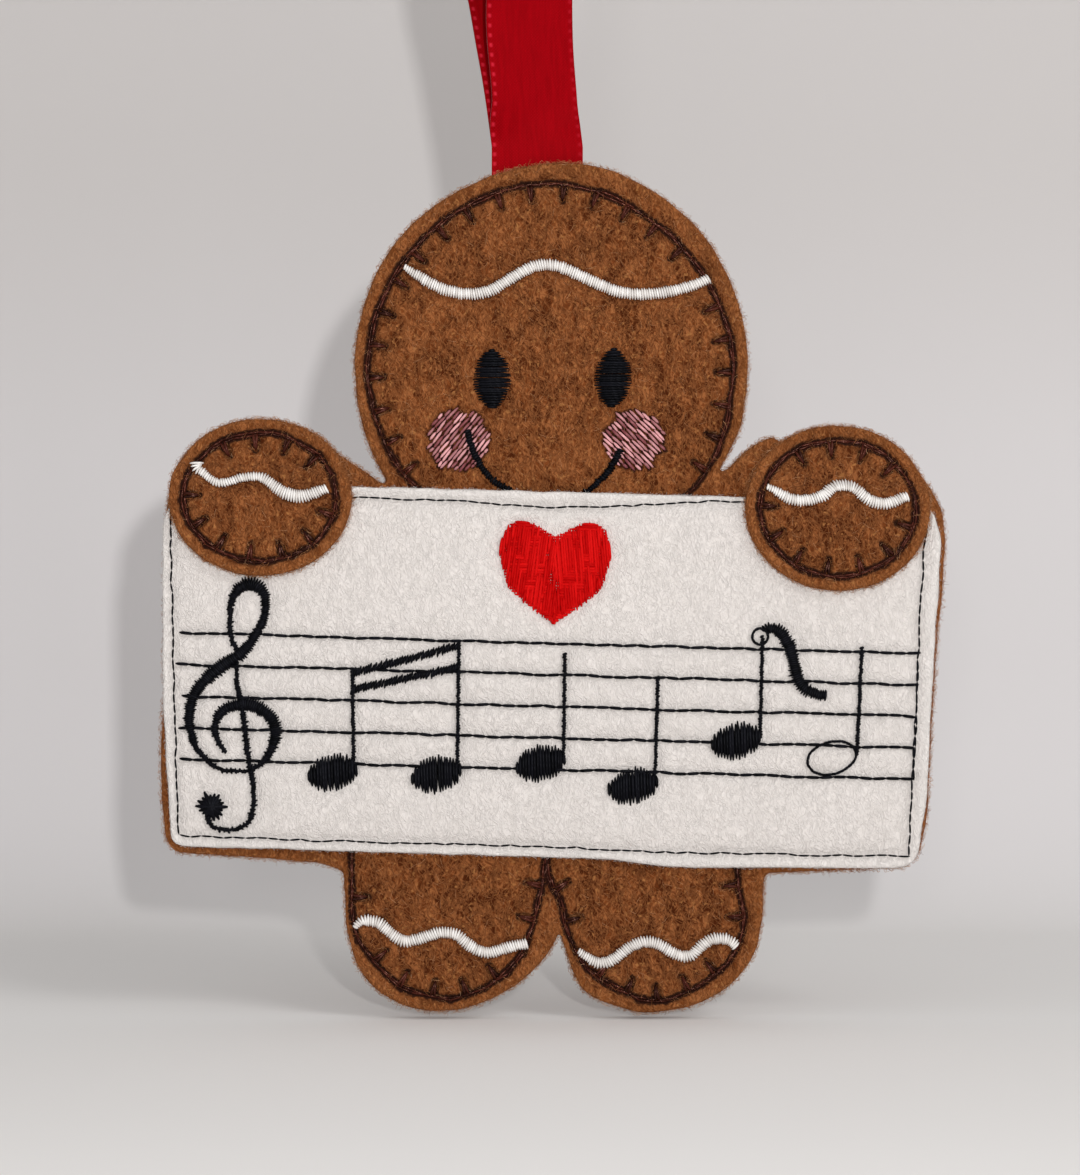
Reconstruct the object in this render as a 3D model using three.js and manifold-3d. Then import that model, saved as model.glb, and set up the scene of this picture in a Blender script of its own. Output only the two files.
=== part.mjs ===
import * as THREE from "three";
import { mergeVertices } from "three/addons/utils/BufferGeometryUtils.js";
import Module from "manifold-3d";

// Gingerbread ornament: a flat felt figure that holds a white sign with music stitched on it,
// hung on a loop of satin ribbon. Millimetres, +Z up, and the front faces -Y.
// The origin is the hang point, the inner top of the ribbon loop. Left and right are as seen
// from the front.

const wasm = await Module();
wasm.setup();

// Driving sizes of the felt and the sheet between the panels
const feltThickness = 1.3;
const sheetThickness = 0.25;

// Driving sizes of the figure
const headRadius = 21.6;
const headRise = 14.1;
const signHalfWidth = 42;
const signHalfHeight = 19.9;
const signTiltDegrees = 1.6;
const legHalfWidth = 11.3;
const legHeight = 17;
const crotchX = 0.5;
const legSpreadShare = 1.0265;
const leftHandInset = 9.8;
const rightHandInset = 11.5;
const leftHand = { x: leftHandInset - signHalfWidth, drop: 1.5, halfWidth: 9.95, halfHeight: 8.55 };
const rightHand = { x: signHalfWidth - rightHandInset, drop: 0.95, halfWidth: 10.05, halfHeight: 9 };
const drapeRun = 2.5;

// Driving sizes of the ribbon
const ribbonWidth = 10;
const ribbonThickness = 0.3;
const ribbonRootX = -1.6;
const ribbonSway = 3.1;
const loopHeight = 70;
const loopReach = 9.5;
const twistHeight = 50;
const stubRise = 2;
const endsDepth = 12;

// Driving sizes of the threads
const seamWidth = 0.6;
const seamHeight = 0.35;
const seamInset = 1.6;
const tickLength = 1.7;
const tickWidth = 0.55;
const tickSpacing = 3.5;
const tickMargin = 1.2;
const icingWidth = 1.2;
const icingHeight = 0.5;
const eyeHalfWidth = 1.93;
const eyeHalfHeight = 3.2;
const cheekRadius = 3.3;
const fillHeight = 0.4;
const cheekHeight = 0.3;
const smileWidth = 0.75;
const smileHeight = 0.45;
const heartHalfWidth = 6.45;
const heartHeight = 11.2;
const heartTipRise = 5.5;
const borderWidth = 0.32;
const borderHeight = 0.2;
const staffPitch = 3.43;
const staffMiddleDrop = 3.45;
const staffWidth = 0.35;
const staffHeight = 0.25;
const noteHeight = 0.75;
const noteHeadHalfWidth = 2.77;
const noteHeadHalfHeight = 1.9;
const noteHeadTiltDegrees = 17;
const stemWidth = 0.52;
const beamWidth = 0.9;
const flagWidth = 1.25;
const flagRingRadius = 0.85;
const ringWidth = 0.4;
const openNoteHalfWidth = 2.9;
const openNoteHalfHeight = 1.95;
const clefHeight = 27.3;
const clefWidth = 1.35;
const clefInset = 7.3;
const clefDrop = 4.34;
const clefDotRadius = 1.5;
const backThreadHeight = 0.25;

// Clearances and one overrun for every cut
const seatGap = 0.3;
const overrun = 5;
const weldDistance = 1e-3;

// Planes of the layers, from the back to the front
const backFaceY = feltThickness;
const sheetBackY = 0;
const sheetFrontY = sheetBackY - sheetThickness;
const panelFaceY = sheetFrontY - feltThickness;
const signFaceY = panelFaceY - feltThickness;

// Angles in radians
const signTilt = THREE.MathUtils.degToRad(signTiltDegrees);
const noteHeadTilt = THREE.MathUtils.degToRad(noteHeadTiltDegrees);

// Heights above the sign's centre
const signTopZ = signHalfHeight;
const signBottomZ = -signHalfHeight;
const headCentreZ = signTopZ + headRise;
const leftLegCentre = crotchX - legSpreadShare * legHalfWidth;
const rightLegCentre = crotchX + legSpreadShare * legHalfWidth;

// Step counts of the round outlines
const roundSteps = 40;
const footSteps = 26;
const seamSteps = 48;
const legSeamSteps = 30;
const icingSteps = 26;
const clefSteps = 44;
const noteHeadSteps = 20;
const flagSteps = 16;
const smileSteps = 22;
const heartSteps = 18;
const foldSteps = 8;
const loopSteps = 84;

const felt = (color) => new THREE.MeshStandardMaterial({ color, roughness: 0.95, metalness: 0 });
const thread = (color) => new THREE.MeshStandardMaterial({ color, roughness: 0.45, metalness: 0 });
const brownFelt = felt(0x8a5228);
const whiteFelt = felt(0xe6e1d9);
const sheetMaterial = felt(0xf2f0ea);
const redSatin = new THREE.MeshStandardMaterial({ color: 0xb01218, roughness: 0.35, metalness: 0 });
const brownThread = thread(0x3a1c10);
const blackThread = thread(0x111116);
const whiteThread = thread(0xf4f1ec);
const pinkThread = thread(0xe8a5a0);
const redThread = thread(0xc20d10);

// Solids: closed meshes that can be joined and cut
function toSolid(geometry) {
  const bare = geometry.clone();
  bare.deleteAttribute("normal");
  bare.deleteAttribute("uv");
  const merged = mergeVertices(bare, weldDistance);
  const vertProperties = merged.attributes.position.array;
  const triVerts = new Uint32Array(merged.index.array);
  return new wasm.Manifold(new wasm.Mesh({ numProp: 3, vertProperties, triVerts }));
}

function toGeometry(solid) {
  const mesh = solid.getMesh();
  const geometry = new THREE.BufferGeometry();
  geometry.setAttribute("position", new THREE.BufferAttribute(mesh.vertProperties, 3));
  geometry.setIndex(new THREE.BufferAttribute(mesh.triVerts, 1));
  geometry.computeVertexNormals();
  return geometry;
}

const join = (solids) => solids.reduce((whole, solid) => whole.add(solid));
const largestBody = (solid) =>
  solid.decompose().reduce((best, part) => (part.volume() > best.volume() ? part : best));

function piece(name, solid, material) {
  const mesh = new THREE.Mesh(toGeometry(solid), material);
  mesh.name = name;
  return mesh;
}

// A flat outline in X and Z, given its thickness from backY forward to frontY
const faceForward = new THREE.Matrix4().makeBasis(
  new THREE.Vector3(1, 0, 0),
  new THREE.Vector3(0, 0, 1),
  new THREE.Vector3(0, -1, 0),
);

function slabGeometry(outline, backY, frontY, holes = []) {
  const shape = new THREE.Shape(outline);
  holes.forEach((hole) => shape.holes.push(new THREE.Path(hole)));
  const geometry = new THREE.ExtrudeGeometry(shape, { depth: backY - frontY, bevelEnabled: false });
  geometry.applyMatrix4(faceForward);
  geometry.translate(0, backY, 0);
  return geometry;
}

const slab = (outline, backY, frontY, holes) => toSolid(slabGeometry(outline, backY, frontY, holes));
const tiltedSlab = (outline, backY, frontY, holes) =>
  toSolid(slabGeometry(outline, backY, frontY, holes).rotateY(signTilt));

// Outlines from shares: each share pair is [across, up], times its two sizes, from a centre
function place(shares, halfWidth, height, centreX = 0, centreZ = 0) {
  const centre = new THREE.Vector2(centreX, centreZ);
  return shares.map(([across, up]) => new THREE.Vector2(across * halfWidth, up * height).add(centre));
}

function smooth(points, steps) {
  return new THREE.SplineCurve(points).getPoints(steps);
}

function ellipse(centreX, centreZ, halfWidth, halfHeight, tilt = 0, steps = roundSteps) {
  const curve = new THREE.EllipseCurve(centreX, centreZ, halfWidth, halfHeight, 0, 2 * Math.PI, false, tilt);
  return curve.getPoints(steps).slice(0, steps);
}

// A strip of thread along a curve: widths holds the width at evenly spaced shares of the curve
function strip(curve, widths, steps) {
  const left = [];
  const right = [];
  for (let step = 0; step <= steps; step++) {
    const share = step / steps;
    const point = curve.getPoint(share);
    const tangent = curve.getTangent(share);
    const reached = share * (widths.length - 1);
    const index = Math.floor(reached);
    const next = widths[Math.min(index + 1, widths.length - 1)];
    const half = THREE.MathUtils.lerp(widths[index], next, reached - index) / 2;
    left.push(new THREE.Vector2(point.x - tangent.y * half, point.y + tangent.x * half));
    right.push(new THREE.Vector2(point.x + tangent.y * half, point.y - tangent.x * half));
  }
  return right.concat(left.reverse());
}

// Short blanket stitches from a seam towards its inner side, kept off the given points
function ticks(curve, side, keepOff, extent) {
  const [first, last] = extent;
  const count = Math.round((curve.getLength() * (last - first)) / tickSpacing);
  const outlines = [];
  for (let tick = 0; tick < count; tick++) {
    const share = first + ((tick + 1 / 2) / count) * (last - first);
    const root = curve.getPointAt(share);
    const along = curve.getTangentAt(share);
    const inward = new THREE.Vector2(-along.y, along.x).multiplyScalar(side);
    const tip = root.clone().addScaledVector(inward, tickLength);
    const isTooNear = (end) => Math.min(end.distanceTo(root), end.distanceTo(tip)) < end.reach;
    if (keepOff.some(isTooNear)) continue;
    const corner = (base, sign) => base.clone().addScaledVector(along, (sign * tickWidth) / 2);
    const ends = [corner(root, -1), corner(root, 1), corner(tip, 1), corner(tip, -1)];
    outlines.push(side > 0 ? ends : ends.reverse());
  }
  return outlines;
}

// A spot that ticks keep off, such as the end of an icing line
function spot(point, reach) {
  const kept = point.clone();
  kept.reach = reach;
  return kept;
}

// The head: hand cut, so its radius wanders a little. Shares start at the right and go round
const headRadiusShares = [
  0.993, 0.992, 1.004, 1.013, 1.024, 1, 0.992, 1.003, 0.998, 1, 1.011, 1.03, 1, 0.98, 0.98, 0.99,
  1.005, 1.005,
];

function headOutline(radius) {
  const points = headRadiusShares.map((share, index) => {
    const angle = (index / headRadiusShares.length) * 2 * Math.PI;
    return new THREE.Vector3(Math.cos(angle), Math.sin(angle), 0).multiplyScalar(share * radius);
  });
  const round = new THREE.CatmullRomCurve3(points, true).getPoints(roundSteps).slice(0, roundSteps);
  return round.map((point) => new THREE.Vector2(point.x, headCentreZ + point.y));
}

// The brown torso behind the sign, in shares of the sign's half sizes
const torsoShares = [
  [0.884, 1.27], [0.935, 1.17], [0.979, 1.052], [1.005, 0.945], [1.0135, 0.792], [1.009, 0.535],
  [0.9966, 0.13], [0.991, -0.245], [0.988, -0.576], [0.9837, -0.77], [0.965, -0.943], [0.927, -1.01],
  [0.576, -1.059], [0, -1.02], [-0.526, -1.11], [-0.586, -1.073], [-0.768, -1.051], [-0.97, -1.035],
  [-0.9945, -0.95], [-1.0065, -0.742], [-1.012, -0.415], [-1.007, -0.196], [-1.0147, 0.569],
  [-1.0138, 0.8965], [-0.98, 1.02], [-0.6, 1.02], [0.6, 1.02],
].reverse();
const leftArmShares = [
  [-0.67, 1.3], [-0.551, 1.148], [-0.477, 1.054], [-0.44, 0.98], [-0.44, 0.7], [-0.74, 0.7],
].reverse();
const rightArmShares = [
  [0.56, 1.35], [0.529, 1.312], [0.496, 1.264], [0.458, 1.185], [0.428, 1.129], [0.4, 1.05], [0.4, 0.7],
  [0.74, 0.7],
];

// The white sign, in shares of its half sizes
const signShares = [
  [-1.02, 0.79], [-0.985, 0.955], [-0.93, 0.997], [0, 1], [0.93, 1], [0.978, 0.955], [0.999, 0.796],
  [0.9886, 0.129], [0.983, -0.245], [0.981, -0.576], [0.962, -0.93], [0.948, -0.985], [0.9, -1.01],
  [0.6, -1.022], [0.32, -1.035], [0.17, -1.003], [-0.13, -1], [-0.59, -0.997], [-0.955, -0.997],
  [-0.975, -0.97], [-0.984, -0.74], [-1.007, -0.2], [-1.018, 0.57],
].reverse();

// The feet, in shares of the leg's half width and height, down from the sign's bottom edge
const leftFootShares = [
  [-1.02, 0.12], [-1.024, -0.14], [-1.01, -0.44], [-0.968, -0.569], [-0.885, -0.72], [-0.673, -0.885],
  [-0.319, -0.981], [-0.038, -0.997], [0.269, -0.952], [0.611, -0.841], [0.851, -0.7], [1.02, -0.529],
  [1.08, -0.268], [1.09, 0.12],
];
const rightFootShares = [
  [-1.06, 0.12], [-1.03, -0.268], [-0.957, -0.567], [-0.817, -0.812], [-0.675, -0.904], [-0.308, -0.994],
  [-0.111, -1.006], [0.284, -0.962], [0.651, -0.831], [0.89, -0.624], [0.966, -0.382], [0.981, -0.14],
  [1, 0.12],
];

function footOutline(shares, centreX, inset) {
  const points = place(shares, legHalfWidth - inset, legHeight - inset, centreX, signBottomZ);
  return smooth(points, footSteps);
}

// The whole figure cut out of one sheet, drawn in by inset all round
function figure(inset, backY, frontY) {
  const halfWidth = signHalfWidth - inset;
  const halfHeight = signHalfHeight - inset;
  const hand = ({ x, drop, halfWidth, halfHeight }) =>
    tiltedSlab(ellipse(x, signTopZ - drop, halfWidth - inset, halfHeight - inset), backY, frontY);
  const arm = (shares) => tiltedSlab(place(shares, signHalfWidth, halfHeight), backY, frontY);
  return join([
    slab(headOutline(headRadius - inset), backY, frontY),
    tiltedSlab(place(torsoShares, halfWidth, halfHeight), backY, frontY),
    arm(leftArmShares),
    arm(rightArmShares),
    hand(leftHand),
    hand(rightHand),
    slab(footOutline(leftFootShares, leftLegCentre, inset), backY, frontY),
    slab(footOutline(rightFootShares, rightLegCentre, inset), backY, frontY),
  ]);
}

// Ribbon: both ends lie one on the other in a pocket of the back panel, and fold out of its top
const feltTopZ = Math.max(...headOutline(headRadius).map((point) => point.y));
const hingeZ = feltTopZ + stubRise;
const hingeY = sheetBackY + ribbonThickness;
const pocketDepth = 2 * ribbonThickness;
const endsBottomZ = feltTopZ - endsDepth;

// A profile in Y and Z drawn out along X
const drawAcross = new THREE.Matrix4().makeBasis(
  new THREE.Vector3(0, 1, 0),
  new THREE.Vector3(0, 0, 1),
  new THREE.Vector3(1, 0, 0),
);

function bar(profile, fromX, toX) {
  const settings = { depth: toX - fromX, bevelEnabled: false, curveSegments: foldSteps };
  const geometry = new THREE.ExtrudeGeometry(profile, settings);
  geometry.applyMatrix4(drawAcross);
  geometry.translate(fromX, 0, 0);
  return toSolid(geometry);
}

function ribbonPocket() {
  const profile = new THREE.Shape([
    new THREE.Vector2(sheetBackY - overrun, endsBottomZ - seatGap),
    new THREE.Vector2(sheetBackY + pocketDepth, endsBottomZ - seatGap),
    new THREE.Vector2(sheetBackY + pocketDepth, feltTopZ + overrun),
    new THREE.Vector2(sheetBackY - overrun, feltTopZ + overrun),
  ]);
  const half = ribbonWidth / 2 + seatGap;
  return bar(profile, ribbonRootX - half, ribbonRootX + half);
}

function ribbonEnds() {
  const profile = new THREE.Shape();
  profile.moveTo(sheetBackY, endsBottomZ);
  profile.lineTo(sheetBackY + pocketDepth, endsBottomZ);
  profile.lineTo(sheetBackY + pocketDepth, hingeZ);
  profile.absarc(hingeY, hingeZ, ribbonThickness, 0, Math.PI, false);
  const half = ribbonWidth / 2;
  return piece("ribbon_ends", bar(profile, ribbonRootX - half, ribbonRootX + half), redSatin);
}

// The free loop: up the back, over the top and down the front, turning a quarter on its way up
const legPowerShare = 1.5;
const rootSpread = (ribbonThickness + seatGap) / 2;
const loopCentreHeight = loopHeight + ribbonThickness / 2;

function loopSection(turn) {
  const height = (loopCentreHeight * (1 - Math.cos(turn))) / 2;
  const heightShare = height / loopCentreHeight;
  const reach = loopReach * Math.sin(turn) * Math.pow(Math.sin(turn / 2), legPowerShare);
  const spread = reach + rootSpread * Math.cos(turn / 2);
  const twist = (Math.PI / 2) * THREE.MathUtils.smoothstep(height, 0, twistHeight);
  const middleX = ribbonRootX * (1 - heightShare) - ribbonSway * Math.sin(Math.PI * heightShare);
  const across = new THREE.Vector3(Math.cos(twist), Math.sin(twist), 0);
  const outward = new THREE.Vector3(-Math.sin(twist), Math.cos(twist), 0);
  const centre = new THREE.Vector3(middleX, hingeY, height).addScaledVector(outward, spread);
  return { centre, across };
}

function ribbonLoop() {
  const rootRise = ribbonThickness + seatGap;
  const firstTurn = Math.acos(1 - (2 * rootRise) / loopCentreHeight);
  const span = 2 * Math.PI - 2 * firstTurn;
  const positions = [];
  const index = [];
  const stepTurn = span / loopSteps;
  const corners = [[-1, -1], [1, -1], [1, 1], [-1, 1]];
  const addQuad = (a, b, c, d) => index.push(a, b, c, a, c, d);
  for (let step = 0; step <= loopSteps; step++) {
    const turn = firstTurn + step * stepTurn;
    const { centre, across } = loopSection(turn);
    const ahead = loopSection(turn + stepTurn / 2).centre;
    const behind = loopSection(turn - stepTurn / 2).centre;
    const normal = new THREE.Vector3().crossVectors(ahead.sub(behind), across).normalize();
    corners.forEach(([side, face]) => {
      const corner = centre.clone().addScaledVector(across, (side * ribbonWidth) / 2);
      corner.addScaledVector(normal, (face * ribbonThickness) / 2);
      positions.push(corner.x, corner.y, corner.z);
    });
    const ring = corners.map((corner, side) => corners.length * step + side);
    if (step === 0) addQuad(...ring.slice().reverse());
    if (step === loopSteps) addQuad(...ring);
    if (step === loopSteps) continue;
    ring.forEach((vertex, side) => {
      const next = ring[(side + 1) % corners.length];
      addQuad(vertex, next, next + corners.length, vertex + corners.length);
    });
  }
  const geometry = new THREE.BufferGeometry();
  geometry.setAttribute("position", new THREE.Float32BufferAttribute(positions, 3));
  geometry.setIndex(index);
  geometry.computeVertexNormals();
  const mesh = new THREE.Mesh(geometry, redSatin);
  mesh.name = "ribbon_loop";
  return mesh;
}

// Head seam: radius shares every step from its first angle on the right round to the left
const headSeamShares = [
  0.97, 0.955, 0.926, 0.91, 0.89, 0.88, 0.892, 0.906, 0.903, 0.903, 0.911, 0.927, 0.935, 0.938, 0.945,
];
const headSeamFirst = THREE.MathUtils.degToRad(-55);
const headSeamLast = THREE.MathUtils.degToRad(235);
const headTickShares = [0.13, 0.89];

function headSeamCurve() {
  const points = headSeamShares.map((share, index) => {
    const angle = THREE.MathUtils.lerp(headSeamFirst, headSeamLast, index / (headSeamShares.length - 1));
    const radius = share * headRadius;
    return new THREE.Vector2(Math.cos(angle) * radius, headCentreZ + Math.sin(angle) * radius);
  });
  return new THREE.SplineCurve(points);
}

// The sign with a clearance round it, which the seams under it stop at
function signKeepOut() {
  const outline = place(signShares, signHalfWidth + seatGap, signHalfHeight + seatGap);
  return tiltedSlab(outline, panelFaceY + overrun, panelFaceY - overrun);
}

// Leg seams, in shares of the leg's half width and height
const leftLegSeamShares = [
  [-0.954, 0.12], [-0.954, -0.268], [-0.954, -0.382], [-0.912, -0.513], [-0.798, -0.624], [-0.573, -0.793],
  [-0.404, -0.859], [-0.038, -0.915], [0.273, -0.859], [0.584, -0.718], [0.766, -0.513], [0.851, -0.287],
  [0.9, -0.14], [0.95, 0.12],
];
const rightLegSeamShares = [
  [-1.13, 0.12], [-1.095, -0.14], [-1, -0.27], [-0.901, -0.513], [-0.732, -0.718], [-0.449, -0.849],
  [-0.167, -0.924], [0.002, -0.928], [0.34, -0.84], [0.622, -0.69], [0.721, -0.588], [0.778, -0.457],
  [0.778, -0.326], [0.736, -0.196], [0.707, 0.12],
];
const leftLegTickShares = [0.13, 0.86];
const rightLegTickShares = [0.2, 0.86];

function legSeamCurve(shares, centreX) {
  return new THREE.SplineCurve(place(shares, legHalfWidth, legHeight, centreX, signBottomZ));
}

// Icing lines, in shares of what carries them
const headIcingShares = [
  [-0.7, 0.456], [-0.662, 0.433], [-0.595, 0.393], [-0.527, 0.366], [-0.447, 0.35], [-0.366, 0.352],
  [-0.298, 0.372], [-0.231, 0.413], [-0.164, 0.453], [-0.096, 0.487], [-0.015, 0.498], [0.052, 0.483],
  [0.119, 0.453], [0.2, 0.415], [0.281, 0.379], [0.362, 0.355], [0.443, 0.348], [0.523, 0.352],
  [0.618, 0.366], [0.713, 0.393], [0.745, 0.405],
];
const leftFootIcingShares = [
  [-0.86, -0.42], [-0.798, -0.41], [-0.686, -0.429], [-0.573, -0.494], [-0.452, -0.545], [-0.291, -0.528],
  [-0.096, -0.487], [0.062, -0.503], [0.161, -0.56], [0.327, -0.618], [0.499, -0.597], [0.6, -0.569],
];
const rightFootIcingShares = [
  [-0.65, -0.68], [-0.59, -0.682], [-0.478, -0.662], [-0.365, -0.605], [-0.252, -0.56],
  [-0.139, -0.546], [-0.026, -0.569], [0.087, -0.616], [0.186, -0.643], [0.284, -0.634], [0.368, -0.578],
  [0.481, -0.531], [0.594, -0.528], [0.67, -0.55],
];
const leftHandIcingShares = [
  [-0.698, 0.338], [-0.631, 0.292], [-0.565, 0.23], [-0.477, 0.169], [-0.392, 0.167], [-0.284, 0.205],
  [-0.176, 0.247], [-0.047, 0.26], [0.04, 0.237], [0.128, 0.164], [0.239, 0.078], [0.347, 0.032],
  [0.455, 0.022], [0.561, 0.057], [0.72, 0.13],
];
const rightHandIcingShares = [
  [-0.76, 0.235], [-0.649, 0.169], [-0.575, 0.122], [-0.485, 0.085], [-0.377, 0.077], [-0.27, 0.101],
  [-0.164, 0.144], [-0.093, 0.217], [-0.023, 0.269], [0.084, 0.282], [0.174, 0.255], [0.249, 0.178],
  [0.322, 0.11], [0.413, 0.073], [0.501, 0.065], [0.592, 0.092], [0.68, 0.141], [0.74, 0.16],
];

const onHead = (shares) => place(shares, headRadius, headRadius, 0, headCentreZ);
const onFoot = (shares, centreX) => place(shares, legHalfWidth, legHeight, centreX, signBottomZ);
const onHand = (shares, hand) => place(shares, hand.halfWidth, hand.halfHeight, hand.x, signTopZ - hand.drop);
const icingStrip = (points) => strip(new THREE.SplineCurve(points), [icingWidth], icingSteps);
const icingReach = tickMargin + icingWidth / 2;
const keepOffEnds = (points) => [spot(points.at(0), icingReach), spot(points.at(-1), icingReach)];

// The seams stitched through the whole figure, drawn at any height, for the front and the back
function headSeam(backY, frontY, withTicks) {
  const curve = headSeamCurve();
  const outlines = [strip(curve, [seamWidth], seamSteps)];
  if (withTicks) outlines.push(...ticks(curve, 1, keepOffEnds(onHead(headIcingShares)), headTickShares));
  return join(outlines.map((outline) => slab(outline, backY, frontY)));
}

function legSeams(backY, frontY, withTicks) {
  const legs = [
    [leftLegSeamShares, leftFootIcingShares, leftLegCentre, leftLegTickShares],
    [rightLegSeamShares, rightFootIcingShares, rightLegCentre, rightLegTickShares],
  ];
  const outlines = legs.flatMap(([shares, icingShares, centreX, tickShares]) => {
    const curve = legSeamCurve(shares, centreX);
    const line = strip(curve, [seamWidth], legSeamSteps);
    if (!withTicks) return [line];
    return [line, ...ticks(curve, 1, keepOffEnds(onFoot(icingShares, centreX)), tickShares)];
  });
  return join(outlines.map((outline) => slab(outline, backY, frontY)));
}

function handSeamRing(hand) {
  const centreZ = signTopZ - hand.drop;
  const middle = [hand.halfWidth - seamInset, hand.halfHeight - seamInset];
  const outer = ellipse(hand.x, centreZ, middle[0] + seamWidth / 2, middle[1] + seamWidth / 2);
  const inner = ellipse(hand.x, centreZ, middle[0] - seamWidth / 2, middle[1] - seamWidth / 2);
  const curve = new THREE.EllipseCurve(hand.x, centreZ, middle[0], middle[1]);
  return { outer, inner, curve };
}

// The sign's border seam, in shares of the sign's half sizes
const borderCornerShares = {
  topLeft: [-0.996, 0.93],
  topRight: [0.963, 0.98],
  bottomRight: [0.938, -0.937],
  bottomLeft: [-0.955, -0.936],
};
const borderShares = [
  borderCornerShares.topLeft, [-0.54, 0.935], [-0.284, 0.934], [-0.077, 0.919], [0, 0.914], [0.133, 0.923],
  [0.27, 0.952], [0.479, 0.974], borderCornerShares.topRight, [0.953, 0.67], [0.943, -0.25],
  borderCornerShares.bottomRight, [0.476, -0.95], [0.17, -0.951], [0, -0.939], [-0.588, -0.942],
  borderCornerShares.bottomLeft, [-0.961, -0.74], [-0.976, -0.194], [-0.994, 0.57],
].reverse();

function borderSeam(backY, frontY, width, makeSlab) {
  const ring = (offset) => place(borderShares, signHalfWidth + offset, signHalfHeight + offset);
  return makeSlab(ring(width / 2), backY, frontY, [ring(-width / 2)]);
}

// Staff lines run between the border's sides, a clearance short of them
function borderSideX([topX, topZ], [bottomX, bottomZ], z) {
  const share = (z / signHalfHeight - topZ) / (bottomZ - topZ);
  return THREE.MathUtils.lerp(topX, bottomX, share) * signHalfWidth;
}

const staffMiddleZ = -staffMiddleDrop;
const staffLines = [0, 1, 2, 3, 4];
const middleLine = Math.floor(staffLines.length / 2);
const staffZ = (line) => staffMiddleZ + (middleLine - line) * staffPitch;

function staffOutline(line, grow) {
  const z = staffZ(line);
  const half = staffWidth / 2 + grow;
  const margin = borderWidth + seatGap - grow;
  const { topLeft, topRight, bottomRight, bottomLeft } = borderCornerShares;
  const left = borderSideX(topLeft, bottomLeft, z) + margin;
  const right = borderSideX(topRight, bottomRight, z) - margin;
  return [
    new THREE.Vector2(left, z - half),
    new THREE.Vector2(right, z - half),
    new THREE.Vector2(right, z + half),
    new THREE.Vector2(left, z + half),
  ];
}

// What lies over the staff bridges its lines
function staffGroove(staffLine) {
  const floorY = signFaceY - staffHeight - seatGap / 2;
  return slab(staffOutline(staffLine, seatGap), signFaceY + overrun, floorY);
}

const overStaff = (solid) => solid.subtract(join(staffLines.map(staffGroove)));

// A note's head is placed by a share of the sign's half width and in staff pitches from the middle
// line. The rest of a note is placed from a point of it, across in shares of the head's half width
const onStaff = ([across, pitches]) =>
  new THREE.Vector2(across * signHalfWidth, staffMiddleZ + pitches * staffPitch);
const beside = (point, [across, pitches]) =>
  new THREE.Vector2(across * noteHeadHalfWidth, pitches * staffPitch).add(point);
const noteSlab = (outline, holes) => slab(outline, signFaceY, signFaceY - noteHeight, holes);
const line = (from, to, width) => noteSlab(strip(new THREE.SplineCurve([from, to]), [width], 1));

const noteEllipse = ({ x, y }, halfWidth, halfHeight, tilt) =>
  ellipse(x, y, halfWidth, halfHeight, tilt, noteHeadSteps);

function ringSolid(centre, halfWidth, halfHeight, tilt) {
  const outer = noteEllipse(centre, halfWidth, halfHeight, tilt);
  const inner = noteEllipse(centre, halfWidth - ringWidth, halfHeight - ringWidth, tilt);
  return noteSlab(outer, [inner]);
}

const noteShares = {
  first: { headShares: [-0.561, -2.3], footShares: [0.834, 0.15], topShares: [0.667, 3.23] },
  second: { headShares: [-0.292, -2.26], footShares: [0.819, 0.16], topShares: [0.743, 4.178] },
  third: { headShares: [-0.022, -1.814], footShares: [0.879, 0.064], topShares: [0.819, 3.481] },
  fourth: { headShares: [0.218, -2.461], footShares: [0.849, 0.161], topShares: [0.864, 3.478] },
  fifth: { headShares: [0.481, -0.935], footShares: [0.94, 0.135], topShares: [0.925, 3.335] },
  open: { headShares: [0.73, -1.385], footShares: [0.986, 0.135], topShares: [1.061, 3.511] },
};

// Pitches that each beam's two ends lie below the tops of their stems
const beamDropShares = [
  [-0.055, -0.088],
  [-0.587, -0.757],
];
const flagShares = [
  [0.121, 0.26], [0.455, 0.26], [0.758, 0.14], [1.046, -0.234], [1.228, -0.658], [1.349, -1.14],
  [1.607, -1.537], [1.971, -1.732], [2.532, -1.818],
];
const flagWidthShares = [0.5, 0.8, 1, 1, 1, 1, 1, 0.95, 0.8];
const flagRingShares = [-0.091, 0];

const stemTop = ({ headShares, topShares }) => beside(onStaff(headShares), topShares);
const stemFoot = ({ headShares, footShares }) => beside(onStaff(headShares), footShares);
const stem = (note) => line(stemFoot(note), stemTop(note), stemWidth);

function filledNote(note) {
  const centre = onStaff(note.headShares);
  const head = noteEllipse(centre, noteHeadHalfWidth, noteHeadHalfHeight, noteHeadTilt);
  return [noteSlab(head), stem(note)];
}

function beamedNotes() {
  const { first, second } = noteShares;
  const beams = beamDropShares.map(([firstDrop, secondDrop]) =>
    line(beside(stemTop(first), [0, firstDrop]), beside(stemTop(second), [0, secondDrop]), beamWidth),
  );
  return join([...filledNote(first), ...filledNote(second), ...beams]);
}

function eighthNote() {
  const top = stemTop(noteShares.fifth);
  const widths = flagWidthShares.map((share) => share * flagWidth);
  const curve = new THREE.SplineCurve(flagShares.map((shares) => beside(top, shares)));
  const flag = noteSlab(strip(curve, widths, flagSteps));
  const ring = ringSolid(beside(top, flagRingShares), flagRingRadius, flagRingRadius, 0);
  return join([...filledNote(noteShares.fifth), flag, ring]);
}

function halfNote() {
  const { open } = noteShares;
  const centre = onStaff(open.headShares);
  const ring = ringSolid(centre, openNoteHalfWidth, openNoteHalfHeight, noteHeadTilt);
  return join([ring, stem(open)]);
}

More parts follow.
